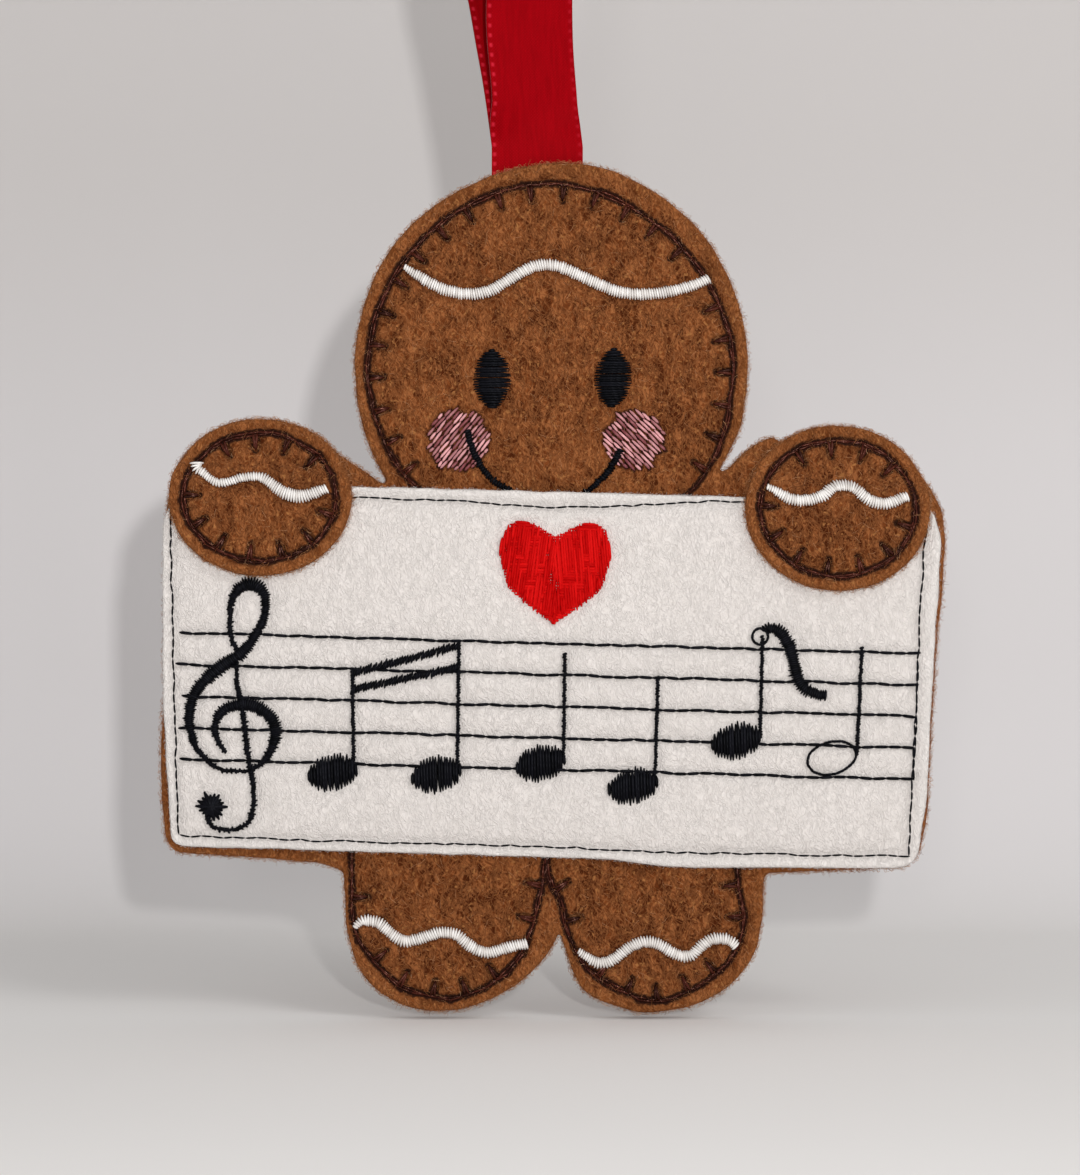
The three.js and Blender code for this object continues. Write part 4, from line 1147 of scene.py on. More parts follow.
# %% Face
EYE_HALF_WIDTH = 0.002
EYE_HALF_HEIGHT = 0.0032
EYE_TILTS = {"left": math.radians(-1), "right": math.radians(4)}
EYE_THREAD = {"pitch": 0.00028, "radius": 0.00017, "lift": 0.00038, "ragged": 0.0001, "tooth": 0.00008}
CHEEK_RADIUS = 0.0033
CHEEK_ANGLES = {"left": math.radians(50), "right": math.radians(-45)}
CHEEK_THREAD = {"pitch": 0.00042, "radius": 0.00015, "lift": 0.00024, "ragged": 0.0004, "longest": 0.0017}
SMILE_WIDTH = 0.0007125
SMILE_THREAD = {"pitch": 0.0003, "radius": 0.00017, "lift": 0.0006, "ragged": 0.00012}

for side in HANDS:
    eye = pointed(on_head(EYE_SHARES[side]), EYE_HALF_WIDTH, EYE_HALF_HEIGHT, EYE_TILTS[side])
    stitches = fill_rows(eye, 0.0, chance, **EYE_THREAD)
    plan(side + "_eye", [stitches], panel_surface, "black_thread", "fill")
    cheek = ellipse(on_head(CHEEK_SHARES[side]), CHEEK_RADIUS, CHEEK_RADIUS)
    stitches = fill_rows(cheek, CHEEK_ANGLES[side], chance, **CHEEK_THREAD)
    plan(side + "_cheek", [stitches], panel_surface, "pink_thread", "cheek")
stitches = satin_column(on_head(SMILE_SHARES), (SMILE_WIDTH,), chance, **SMILE_THREAD)
plan("smile", [stitches], panel_surface, "black_thread", "staff")

# %% Heart
HEART_HALF_WIDTH = 0.0062
HEART_HEIGHT = 0.0112
HEART_TIP_Z = 0.0055
HEART_OVERLAP = 0.00015
HEART_FAN = 6
HEART_UNDERLAY = {"pitch": 0.0003, "radius": 0.0002, "lift": 0.00024, "ragged": 0.0}
HEART_THREAD = {
    "pitch": 0.00027, "radius": 0.00017, "lift": 0.00044, "ragged": 0.00012,
    "longest": 0.0052, "tooth": 0.0001,
}
HEART_SHARES = [
    (0, 0), (0.185, 0.066), (0.345, 0.125), (0.605, 0.236), (0.83, 0.345), (0.93, 0.515), (0.995, 0.66),
    (0.97, 0.8), (0.85, 0.943), (0.6, 0.993), (0.36, 0.947), (0.185, 0.895), (0, 0.845),
]


def heart_rows(side, chance):
    """One half of the heart: level rows under upright ones that lean out like a fan."""
    half = smooth_line(in_place(HEART_SHARES, HEART_HALF_WIDTH, HEART_HEIGHT))[0] * (side, 1)
    half = half + (-HEART_OVERLAP * side, HEART_TIP_Z)
    angle = math.radians(90 + HEART_FAN * side)
    under = fill_rows(half, 0.0, chance, **HEART_UNDERLAY)
    top = fill_rows(half, angle, chance, **HEART_THREAD)
    return np.vstack([under, top])


plan("heart", [heart_rows(side, chance) for side in (-1, 1)], sign_surface, "red_thread", "fill")

# %% [markdown]
# ## The music
#
# Staff lines and the sign's border are running stitches. The stems are narrow zigzags, the beams
# and the flag satin columns with saw edges, and the note heads are filled with upright rows.

# %% Staff and border
STAFF_THREAD = {"length": 0.00145, "radius": 0.00019, "lift": 0.0002, "sway": 0.0001, "overlap": 0.03}
BORDER_THREAD = {"length": 0.0012, "radius": 0.00011, "lift": 0.00017, "sway": 0.00012, "overlap": -0.03}
DOUBLE_RIGHT = [(0.9475, 0.13), (0.945, -0.25), (0.9435, -0.52)]

for line in STAFF_LINES:
    stitches = running(staff_points(line), chance, **STAFF_THREAD)
    plan("staff_line_" + str(line + 1), [stitches], sign_surface, "black_thread", "staff")
border_sides = [*BORDER_SIDES.values(), DOUBLE_RIGHT]
border_parts = [running(on_sign(side), chance, **BORDER_THREAD) for side in border_sides]
plan("sign_border_seam", border_parts, sign_surface, "black_thread", "border")

# %% Notes
NOTE_HALF_WIDTH = 0.00277
NOTE_HALF_HEIGHT = 0.0019
NOTE_TILT = math.radians(17)
NOTE_ROW_ANGLE = math.radians(-86)
NOTE_THREAD = {"pitch": 0.00032, "radius": 0.00019, "lift": 0.00045, "ragged": 0.00014, "tooth": 0.00016}
RING_THREAD = {"length": 0.0005, "radius": 0.00016, "lift": 0.0002, "sway": 0.00004, "overlap": 0.1}
STEM_WIDTH = 0.00034
STEM_THREAD = {"pitch": 0.0003, "radius": 0.00016, "lift": 0.00034, "ragged": 0.00007}
SAW_THREAD = {"pitch": 0.00024, "radius": 0.00015, "lift": 0.0004, "ragged": 0.0001, "tooth": 0.00016}
BEAM_THREAD = {**SAW_THREAD, "pitch": 0.00029, "lean": 0.8}
BEAM_WIDTH = 0.0009
SAW_SHARE = 0.85
FLAG_WIDTH = 0.0015
FLAG_RING_RADIUS = 0.0011
FLAG_RING_SHARES = (-0.091, 0)
OPEN_HALF_WIDTH = 0.0029
OPEN_HALF_HEIGHT = 0.00195
RING_WIDTH = 0.0004
NOTES = {
    "first": {"head": (-0.561, -2.3), "foot": (0.834, 0.15), "top": (0.667, 3.23)},
    "second": {"head": (-0.292, -2.26), "foot": (0.819, 0.16), "top": (0.743, 4.178)},
    "third": {"head": (-0.022, -1.814), "foot": (0.879, 0.064), "top": (0.819, 3.481)},
    "fourth": {"head": (0.218, -2.461), "foot": (0.849, 0.161), "top": (0.864, 3.478)},
    "fifth": {"head": (0.481, -0.935), "foot": (0.94, 0.135), "top": (0.925, 3.335)},
    "open": {"head": (0.73, -1.385), "foot": (0.986, 0.135), "top": (1.061, 3.511)},
}
BEAM_DROPS = [(-0.055, -0.088), (-0.587, -0.757)]
FLAG_SHARES = [
    (0.02, 0.2), (0.18, 0.285), (0.455, 0.26), (0.758, 0.14), (1.046, -0.234), (1.228, -0.658),
    (1.349, -1.14), (1.607, -1.537), (1.971, -1.732), (2.532, -1.818),
]
FLAG_WIDTHS = (0.4, 0.7, 0.9, 1, 1, 1, 1, 1, 0.9, 0.75)


def note_centre(note):
    across, pitches = NOTES[note]["head"]
    return np.array([across * SIGN_HALF_WIDTH, STAFF_MIDDLE_Z + pitches * STAFF_PITCH])


def beside(point, shares):
    return point + np.array(shares) * (NOTE_HALF_WIDTH, STAFF_PITCH)


def stem_ends(note):
    centre = note_centre(note)
    return beside(centre, NOTES[note]["foot"]), beside(centre, NOTES[note]["top"])


def stem_rows(note, chance):
    return satin_column(stem_ends(note), (STEM_WIDTH,), chance, **STEM_THREAD)


def filled_rows(note, chance):
    """The filled head of a note and its stem."""
    head = ellipse(note_centre(note), NOTE_HALF_WIDTH, NOTE_HALF_HEIGHT, NOTE_TILT)
    return np.vstack([fill_rows(head, NOTE_ROW_ANGLE, chance, **NOTE_THREAD), stem_rows(note, chance)])


def ring_rows(centre, half_width, half_height, tilt, chance):
    ring = closed_up(ellipse(centre, half_width, half_height, tilt, count=RING_POINTS))
    return running(ring, chance, **RING_THREAD)


def beam_rows(first_drop, second_drop, chance):
    """A beam between the tops of the first two stems. Its teeth stand out past its column."""
    first_top, second_top = stem_ends("first")[1], stem_ends("second")[1]
    ends = [beside(first_top, (0, first_drop)), beside(second_top, (0, second_drop))]
    return satin_column(ends, (SAW_SHARE * BEAM_WIDTH,), chance, **BEAM_THREAD)


def flag_rows(chance):
    """The curved flag of the eighth note, and the small ring at its start."""
    top = stem_ends("fifth")[1]
    points = [beside(top, shares) for shares in FLAG_SHARES]
    widths = [SAW_SHARE * share * FLAG_WIDTH for share in FLAG_WIDTHS]
    flag = satin_column(points, widths, chance, **SAW_THREAD)
    radius = FLAG_RING_RADIUS - RING_WIDTH / 2
    return np.vstack([flag, ring_rows(beside(top, FLAG_RING_SHARES), radius, radius, 0.0, chance)])


beamed = [filled_rows("first", chance), filled_rows("second", chance)]
beamed += [beam_rows(first_drop, second_drop, chance) for first_drop, second_drop in BEAM_DROPS]
open_size = (OPEN_HALF_WIDTH - RING_WIDTH / 2, OPEN_HALF_HEIGHT - RING_WIDTH / 2)
open_note = [ring_rows(note_centre("open"), *open_size, NOTE_TILT, chance), stem_rows("open", chance)]
plan("beamed_notes", beamed, sign_surface, "black_thread", "fill")
plan("third_note", [filled_rows("third", chance)], sign_surface, "black_thread", "fill")
plan("fourth_note", [filled_rows("fourth", chance)], sign_surface, "black_thread", "fill")
plan("eighth_note", [filled_rows("fifth", chance), flag_rows(chance)], sign_surface, "black_thread", "fill")
plan("half_note", open_note, sign_surface, "black_thread", "staff")

# %% Treble clef
CLEF_HEIGHT = 0.0273
CLEF_WIDTH = 0.00135
CLEF_CENTRE = (-0.0347, -0.00434)
CLEF_DOT_RADIUS = 0.0016
CLEF_SAW_SHARE = 0.8
CLEF_DOT_STRAND_RADIUS = 0.00028
CLEF_DOT_LIFT = 0.0004
CLEF_DOT_REACHES = (0.72, 1.15)
CLEF_DOT_SHARES = (-0.068, -0.404)
CLEF_DOT_SPOKES = 9
CLEF_LOOP = [
    (0.03, 0.216), (0.002, 0.239), (-0.011, 0.277), (-0.016, 0.33), (-0.017, 0.398), (0.003, 0.455),
    (0.05, 0.488), (0.095, 0.478), (0.12, 0.435), (0.122, 0.382), (0.11, 0.33), (0.088, 0.289),
]
CLEF_LOOP_WIDTHS = (0.42, 0.42, 0.42, 0.44, 0.5, 0.9, 1.4, 1.25, 0.85, 0.75, 0.7, 0.7)
CLEF_CURL = [
    (0.114, 0.338), (0.095, 0.302), (0.07, 0.256), (0.041, 0.217), (-0.004, 0.185), (-0.049, 0.153),
    (-0.101, 0.106), (-0.145, 0.052), (-0.166, -0.01), (-0.169, -0.071), (-0.156, -0.124),
    (-0.139, -0.169), (-0.107, -0.206), (-0.068, -0.242), (-0.03, -0.258), (0.016, -0.26),
    (0.077, -0.255), (0.107, -0.239), (0.137, -0.215), (0.162, -0.168), (0.176, -0.123),
    (0.175, -0.077), (0.155, -0.039), (0.116, -0.01), (0.062, 0.008), (0.016, 0.003),
    (-0.029, -0.014), (-0.058, -0.053), (-0.065, -0.091), (-0.056, -0.129), (-0.04, -0.159),
    (-0.02, -0.185),
]
CLEF_CURL_WIDTHS = (
    0.6, 0.7, 0.85, 1.1, 1.25, 1.3, 1.2, 1.1, 1, 0.9, 0.75, 0.55, 0.4, 0.3, 0.28, 0.28, 0.28, 0.35, 0.6,
    0.9, 1.15, 1.2, 1.2, 1.3, 1.3, 1.15, 0.95, 0.8, 0.7, 0.6, 0.45, 0.3,
)
CLEF_STEM = [
    (0.015, 0.168), (0.017, 0.094), (0.027, 0.049), (0.048, -0.042), (0.058, -0.126), (0.072, -0.209),
    (0.085, -0.262), (0.095, -0.346), (0.096, -0.407), (0.079, -0.461), (0.053, -0.482), (0.015, -0.493),
    (-0.031, -0.494), (-0.069, -0.476), (-0.085, -0.45),
]
CLEF_STEM_WIDTHS = (0.3, 0.35, 0.4, 0.45, 0.5, 0.45, 0.42, 0.42, 0.42, 0.4, 0.35, 0.3, 0.3, 0.35, 0.45)


def clef_column(shares, widths, chance):
    points = in_place(shares, CLEF_HEIGHT, CLEF_HEIGHT, CLEF_CENTRE)
    widths = [CLEF_SAW_SHARE * width * CLEF_WIDTH for width in widths]
    return satin_column(points, widths, chance, **SAW_THREAD)


def clef_dot_rows(chance):
    """Strands that cross in the middle of the dot, like the spokes of a wheel."""
    centre = in_place(CLEF_DOT_SHARES, CLEF_HEIGHT, CLEF_HEIGHT, CLEF_CENTRE)
    turns = np.arange(CLEF_DOT_SPOKES) * math.pi / CLEF_DOT_SPOKES
    spokes = np.stack([np.cos(turns), np.sin(turns)], axis=1) * CLEF_DOT_RADIUS
    reaches = chance.uniform(*CLEF_DOT_REACHES, (2, CLEF_DOT_SPOKES, 1))
    starts = centre + spokes * reaches[0]
    ends = centre - spokes * reaches[1]
    return rows(starts, ends, CLEF_DOT_LIFT, CLEF_DOT_STRAND_RADIUS, SINK)


clef_parts = [
    clef_column(CLEF_LOOP, CLEF_LOOP_WIDTHS, chance),
    clef_column(CLEF_CURL, CLEF_CURL_WIDTHS, chance),
    clef_column(CLEF_STEM, CLEF_STEM_WIDTHS, chance),
    clef_dot_rows(chance),
]
plan("treble_clef", clef_parts, sign_surface, "black_thread", "fill")

# %% [markdown]
# ## Felt materials
#
# Felt is a mat of short curled fibres. Seen close it is a tangle of thin light and dark lines on
# a mottled ground, quite matt, with a faint sheen from fibre ends. The lines of equal value in a
# stretched noise are thin, long and curved, just like fibres. Three such layers at different angles
# make the light fibres and two more make the dark hollows, and the same layers drive the bump.

# %% Felt material
FIBRE_ACROSS = 2100
FIBRE_ALONG = 520
FIBRE_BEND = 0.0008
FIBRE_BEND_SCALE = 700
FIBRE_LINE = 0.078
LIGHT_LAYERS = ((0.15, 3.1), (1.0, 7.7), (-0.6, 13.3))
LIGHT_SHARES = (0.2, 0.9)
DARK_LAYERS = ((-0.2, 23.9), (0.5, 31.3))
DARK_SHARES = (0.75, 0.2)
FINE_DETAIL = 1.0
MOTTLE_ACROSS = 1000
MOTTLE_ALONG = 480
MOTTLE_DETAIL = 3.0
MOTTLE_SHARE = 0.68
BROAD_SCALE = 210
BROAD_DETAIL = 2.0
BROAD_SHARE = 0.32
GROUND_SPAN = (0.41, 0.57)
RIM_HIGHLIGHT_SHARE = 0.85
FLECK_SCALE = 2300.0
FLECK_SPAN = (0.62, 0.74)
FLECK_SHARE = 0.6
FLECK_RISE = 0.8
# Painted shade in the stitch grooves and pits, with a ragged edge.
RAGGED_SEAM_SHADE = 0.4
SEAM_SHADE_SPAN = (0.25, 0.75)
FELT_BUMP = 0.7
FELT_BUMP_RISE = 0.0001


def fibre_layer(tree, place, angle, seed):
    """Thin curved lines that run mostly at one angle."""
    along = add_node(tree, "ShaderNodeMapping", {"Vector": place, "Rotation": (0, angle, 0)}).outputs[0]
    stretch = (FIBRE_ACROSS, FIBRE_ACROSS, FIBRE_ALONG)
    feeds = {"Vector": along, "Location": (seed, seed, seed), "Scale": stretch}
    stretched = add_node(tree, "ShaderNodeMapping", feeds).outputs[0]
    value = noise_texture(tree, stretched, 1.0, FINE_DETAIL)[0]
    off_middle = maths(tree, "ABSOLUTE", maths(tree, "SUBTRACT", value, 0.5))
    return maths(tree, "SUBTRACT", 1.0, between(tree, off_middle, 0.0, FIBRE_LINE))


def tangle(tree, place, layers):
    """Several layers of fibres over each other, each given by its angle and its seed."""
    found = 0.0
    for angle, seed in layers:
        found = maths(tree, "MAXIMUM", found, fibre_layer(tree, place, angle, seed))
    return found


def bent_place(tree, place):
    """The place pushed about a little, so that no fibre is straight."""
    cloud = noise_texture(tree, place, FIBRE_BEND_SCALE, FINE_DETAIL)["Color"]
    centred = vector_maths(tree, "SUBTRACT", {0: cloud, 1: (0.5, 0.5, 0.5)})
    shift = vector_maths(tree, "SCALE", {0: centred, "Scale": FIBRE_BEND})
    return vector_maths(tree, "ADD", {0: place, 1: shift})


def felt_material(name, dark, middle, light, fleck, rim_highlight, seam_shade_tone, sheen, sheen_tint):
    material, tree, surface = new_material(name)
    place = add_node(tree, "ShaderNodeTexCoord").outputs["Object"]
    bent = bent_place(tree, place)
    fibres = tangle(tree, bent, LIGHT_LAYERS)
    hollows = tangle(tree, bent, DARK_LAYERS)
    stretch = (MOTTLE_ACROSS, MOTTLE_ACROSS, MOTTLE_ALONG)
    upright = add_node(tree, "ShaderNodeMapping", {"Vector": bent, "Scale": stretch}).outputs[0]
    mottle = noise_texture(tree, upright, 1.0, MOTTLE_DETAIL)[0]
    broad = noise_texture(tree, place, BROAD_SCALE, BROAD_DETAIL)[0]
    blotch = maths(tree, "ADD", times(tree, mottle, MOTTLE_SHARE), times(tree, broad, BROAD_SHARE))
    flecks = noise_texture(tree, bent, FLECK_SCALE, FINE_DETAIL)[0]
    tone = mix_colours(tree, between(tree, blotch, *GROUND_SPAN), dark, middle)
    # Painted highlight: near its cut edge the felt turns to the rim highlight tone, where light catches the
    # edge.
    tone = mix_colours(tree, times(tree, attribute(tree, "rim_highlight"), RIM_HIGHLIGHT_SHARE), tone, rim_highlight)
    tone = mix_colours(tree, times(tree, fibres, spread(tree, blotch, *LIGHT_SHARES)), tone, light)
    tone = mix_colours(tree, times(tree, hollows, spread(tree, blotch, *DARK_SHARES)), tone, dark)
    tone = mix_colours(tree, times(tree, between(tree, flecks, *FLECK_SPAN), FLECK_SHARE), tone, fleck)
    # Painted shade: in the grooves and pits that the stitches press in, the felt turns to the seam shade
    # tone, with a ragged edge.
    ragged = maths(tree, "ADD", attribute(tree, "seam"), spread(tree, flecks, -RAGGED_SEAM_SHADE, RAGGED_SEAM_SHADE))
    tone = mix_colours(tree, between(tree, ragged, *SEAM_SHADE_SPAN), tone, seam_shade_tone)
    height = maths(tree, "ADD", maths(tree, "SUBTRACT", fibres, hollows), times(tree, flecks, FLECK_RISE))
    looks = {
        "Base Color": tone,
        "Roughness": 0.95,
        "Specular IOR Level": 0.03,
        "Sheen Weight": sheen,
        "Sheen Roughness": 0.6,
        "Sheen Tint": sheen_tint,
        "Normal": bumped(tree, height, FELT_BUMP, FELT_BUMP_RISE),
    }
    give_surface(tree, surface, looks)
    return material


brown_felt = felt_material(
    "brown_wool_felt",
    dark=(0.054, 0.011, 0.0022, 1),
    middle=(0.163, 0.0445, 0.0115, 1),
    light=(0.355, 0.133, 0.046, 1),
    fleck=(0.4, 0.17, 0.055, 1),
    rim_highlight=(0.22, 0.07, 0.019, 1),
    seam_shade_tone=(0.016, 0.0045, 0.0035, 1),
    sheen=0.08,
    sheen_tint=(1.0, 0.45, 0.2, 1),
)
white_felt = felt_material(
    "white_wool_felt",
    dark=(0.665, 0.618, 0.585, 1),
    middle=(0.695, 0.646, 0.615, 1),
    light=(0.715, 0.667, 0.636, 1),
    fleck=(0.7, 0.652, 0.621, 1),
    rim_highlight=(0.77, 0.73, 0.7, 1),
    seam_shade_tone=(0.5, 0.46, 0.45, 1),
    sheen=0.05,
    sheen_tint=(1.0, 1.0, 1.0, 1),
)
stabiliser_weave = felt_material(
    "stabiliser_mat",
    dark=(0.74, 0.73, 0.70, 1),
    middle=(0.8, 0.79, 0.76, 1),
    light=(0.86, 0.85, 0.83, 1),
    fleck=(0.7, 0.69, 0.66, 1),
    rim_highlight=(0.8, 0.79, 0.76, 1),
    seam_shade_tone=(0.5, 0.49, 0.47, 1),
    sheen=0.05,
    sheen_tint=(1.0, 1.0, 1.0, 1),
)
print("made", brown_felt.name, white_felt.name, stabiliser_weave.name)

# %% [markdown]
# ## Cutting felt
#
# A felt piece is one outline filled with a mesh. An even scatter of points inside the outline,
# joined by a Delaunay fill, has no long thin faces, so the surface can be pressed in anywhere. The
# cut edge is a wall of several rows with rounded shoulders, because scissors leave felt soft there.
# Scissors also stop short where a gap is narrower than their tips, beside the head and between the
# legs, so the ends of such gaps stay uncut.

# %% Fill, wall and press
ROUND_SHARE = 0.28
WALL_SHARES = (0.1, 0.28, 0.5, 0.72, 0.9)
WALL_POWER = 2.6
WALL_ROUGH_DEPTH = 0.004
CUT_WOBBLE = 0.00012
CUT_WOBBLE_SCALE = 380
RIM_HIGHLIGHT_REACH = 0.0019
SCATTER_SHARE = 0.22
SCATTER_ROW_SHARE = math.sqrt(0.75)
CLEAR_SHARE = 0.6
COVERED_SPACING = 0.0012
FILL_REACH = 1e-9


def scatter(outline, spacing, seed, covered=None):
    """Evenly scattered points inside an outline, clear of its edge, and further apart where covered."""
    chance = np.random.default_rng(seed)
    low, high = outline.min(axis=0), outline.max(axis=0)
    heights = np.arange(low[1], high[1], spacing * SCATTER_ROW_SHARE)
    columns = np.arange(low[0], high[0], spacing)
    grid_x, grid_z = np.meshgrid(columns, heights)
    grid_x[1::2] += spacing / 2
    points = np.stack([grid_x.ravel(), grid_z.ravel()], axis=1)
    points += chance.uniform(-1, 1, points.shape) * spacing * SCATTER_SHARE
    points = points[is_inside(points, outline)]
    points = points[nearest(points, outline) > CLEAR_SHARE * spacing]
    if covered is None:
        return points
    sparse = scatter(outline, COVERED_SPACING, seed + 1)
    return np.vstack([points[~is_inside(points, covered)], sparse[is_inside(sparse, covered)]])


def fill(outline, spacing, seed, covered=None):
    """Fill an outline with triangles. The outline's own points come first and keep their order."""
    points = np.vstack([outline, scatter(outline, spacing, seed, covered)])
    ring = list(range(len(outline)))
    made = geometry.delaunay_2d_cdt([Vector(point) for point in points], [], [ring], 1, FILL_REACH)
    places, triangles, sources = made[0], made[2], made[3]
    order = {source: index for index, found in enumerate(sources) for source in found}
    kept = [order[index] for index in ring]
    rest = sorted(set(range(len(places))) - set(kept))
    renumber = {old: new for new, old in enumerate(kept + rest)}
    flat = np.array([places[index] for index in kept + rest])
    return flat, [tuple(renumber[index] for index in triangle) for triangle in triangles]


def felt_mesh(outline, front_y, back_y, spacings, seed, press, covered=None):
    """A felt piece between two surfaces, given as Y for flat points. press moves both surfaces."""
    inset = ROUND_SHARE * FELT_THICKNESS
    ring = outline - inset * outline_normals(outline)
    count = len(ring)
    front, front_faces = fill(ring, spacings[0], seed, covered)
    back, back_faces = fill(ring, spacings[1], seed + 1)
    front_depth = front_y(front) + press["front"](front)
    back_depth = back_y(back) + press["back"](back)
    points = [(x, y, z) for (x, z), y in zip(front, front_depth)]
    faces = list(front_faces)
    back_start = len(points)
    points += [(x, y, z) for (x, z), y in zip(back, back_depth)]
    faces += [tuple(back_start + index for index in triangle[::-1]) for triangle in back_faces]
    rings = [list(range(count))]
    outward = outline_normals(outline)
    for share in WALL_SHARES:
        bulge = (1 - abs(2 * share - 1) ** WALL_POWER) ** (1 / WALL_POWER)
        level_y = share * WALL_ROUGH_DEPTH
        rough = np.array([noise.noise(Vector((x, level_y, z)) * CUT_WOBBLE_SCALE) for x, z in outline])
        placed = ring + outward * (inset * bulge + CUT_WOBBLE * rough * bulge)[:, None]
        depth = front_depth[:count] + share * (back_depth[:count] - front_depth[:count])
        rings.append(list(range(len(points), len(points) + count)))
        points += [(x, y, z) for (x, z), y in zip(placed, depth)]
    rings.append(list(range(back_start, back_start + count)))
    for row, behind in zip(rings, rings[1:]):
        for index in range(count):
            ahead = (index + 1) % count
            faces.append((row[index], behind[index], behind[ahead], row[ahead]))
    return np.array(points), faces


print("felt can be cut")

# %% [markdown]
# ## Pressing the felt
#
# Thread pulls felt down into a groove and leaves a soft swell beside it, and each tick ends in a
# small pit where the needle went through. All of that depends only on how far a point is from the
# stitches, so the stitches planned above are turned into marks, and one measured distance to them
# is enough. The same distance paints shade on the felt where it dips into the grooves and pits,
# darkest under brown thread.

# %% Grooves, pits and swells
# depth and reach shape each groove or pit; dark and painted_shade_reach paint shade into it.
PRESSES = {
    "seam": {"depth": 0.0005, "reach": 0.00036, "dark": 1.15, "painted_shade_reach": 0.0004},
    "icing": {"depth": 0.0003, "reach": 0.0004, "dark": 0.45, "painted_shade_reach": 0.0003},
    "fill": {"depth": 0.0002, "reach": 0.0004, "dark": 0.15, "painted_shade_reach": 0.0002},
    "cheek": {"depth": 0.00018, "reach": 0.0004, "dark": 0.75, "painted_shade_reach": 0.00035},
    "staff": {"depth": 0.00016, "reach": 0.0005, "dark": 0.12, "painted_shade_reach": 0.00025},
    "border": {"depth": 0.0003, "reach": 0.0005, "dark": 0.2, "painted_shade_reach": 0.0003},
    "pit": {"depth": 0.0006, "reach": 0.00036, "dark": 1.2, "painted_shade_reach": 0.00042},
}
SWELL = 0.0002
SWELL_REACH = 0.0014
NAP = 0.00005
NAP_SCALE = 900
WAVE = 0.00007
WAVE_SCALE = 170
STITCH_MARKS = 7


def bell(gap, reach):
    return np.exp(-((gap / reach) ** 2))


def nap(points, seed):
    """The unevenness of the felt itself."""
    fine = [noise.noise(Vector((x, seed, z)) * NAP_SCALE) for x, z in points]
    broad = [noise.noise(Vector((x, seed, z)) * WAVE_SCALE) for x, z in points]
    return NAP * np.array(fine) + WAVE * np.array(broad)


def stitch_marks(work):
    """Marks along every stitch of a planned piece of thread work, in world X and Z."""
    starts, ends = work["stitches"][:, 0:2], work["stitches"][:, 2:4]
    flat = np.vstack([starts + (ends - starts) * share for share in np.linspace(0, 1, STITCH_MARKS)])
    return to_world(flat, work["surface"](flat[:1])[2])


def press_lines(surface, *pit_lists):
    """What presses the felt of one surface: the marks of its thread work, and its pits."""
    on_it = [work for work in thread_plans.values() if work["surface"] is surface]
    lines = [(stitch_marks(work), work["press"]) for work in on_it]
    return lines + [(pit_marks, "pit") for pit_marks in pit_lists]


def pressed(points, lines, seed):
    """How far felt is pushed in from its plane by the lines. Swells stand out between them."""
    depth = nap(points, seed)
    free = np.ones(len(points))
    for line_marks, kind in lines:
        gap = nearest(points, line_marks)
        depth = depth + PRESSES[kind]["depth"] * bell(gap, PRESSES[kind]["reach"])
        free = np.minimum(free, 1 - bell(gap, SWELL_REACH))
    return depth - SWELL * free


def felt_floats(points, outline, lines, on_top):
    """The painted highlight share near the cut edge and the painted shade share beside the stitches, for
    every point of a felt mesh.
    """
    flat = points[:, [0, 2]]
    # Painted highlight near the cut edge.
    rim_highlight = 1 - smoothstep(nearest(flat, outline), 0.0, RIM_HIGHLIGHT_REACH)
    seam = np.zeros(len(points))
    # Painted shade beside the stitches, strongest where they press deepest.
    for line_marks, kind in lines:
        seam_shade = PRESSES[kind]["dark"] * bell(nearest(flat, line_marks), PRESSES[kind]["painted_shade_reach"])
        seam = np.maximum(seam, seam_shade)
    return {"rim_highlight": rim_highlight, "seam": np.where(on_top, seam, 0.0)}


print("felt can be pressed")

# %% Cut the two brown panels
FINE_SPACING = 0.0004
SEEN_SPACING = 0.00029
HAND_SPACING = 0.00026
HIDDEN_SPACING = 0.0016
POCKET_SPACING = 0.0008
POCKET_DEPTH = 0.00064
POCKET_MARGIN = 0.0003
POCKET_EASE = 0.0008
BACK_LAYER_WOBBLE = 0.00025
BACK_LAYER_SCALE = 130
BACK_LAYER_SEED = 0.5
FELTS = {
    "front_panel": {"fill_seed": 11, "nap_seed": 1.5, "spacings": (SEEN_SPACING, HIDDEN_SPACING)},
    "back_panel": {"fill_seed": 21, "nap_seed": 2.5, "spacings": (POCKET_SPACING, FINE_SPACING)},
    "sign": {"fill_seed": 31, "nap_seed": 3.5, "spacings": (FINE_SPACING, POCKET_SPACING)},
    "left_hand": {"fill_seed": 41, "nap_seed": 4.5, "spacings": (HAND_SPACING, POCKET_SPACING)},
    "right_hand": {"fill_seed": 41, "nap_seed": 4.5, "spacings": (HAND_SPACING, POCKET_SPACING)},
}
SCISSOR_GAP = 0.0006
SCISSOR_LEAST_RUN = 0.0015
SCISSOR_RUN = 0.012
SCISSOR_SOFTENING = 1


def level(y):
    return lambda points: np.full(len(points), y)


def cut_felt(name, felt, outline, planes, lines, hidden, facing=-1, covered=None):
    """A felt piece between two planes. The lines press and stain the side that it shows.

    hidden is how the other side gives way to what lies there.
    """
    cut = FELTS[name]

    def shown(points):
        return -facing * pressed(points, lines, cut["nap_seed"])

    press = {"front": shown, "back": hidden} if facing < 0 else {"front": hidden, "back": shown}
    points, faces = felt_mesh(outline, *planes, cut["spacings"], cut["fill_seed"], press, covered)
    front, back = (plane(points[:, [0, 2]]) for plane in planes)
    half = FELT_THICKNESS / 2
    on_top = points[:, 1] < front + half if facing < 0 else points[:, 1] > back - half
    floats = felt_floats(points, outline, lines, on_top)
    return plain_object(name + "_felt", points, faces, floats, felt)


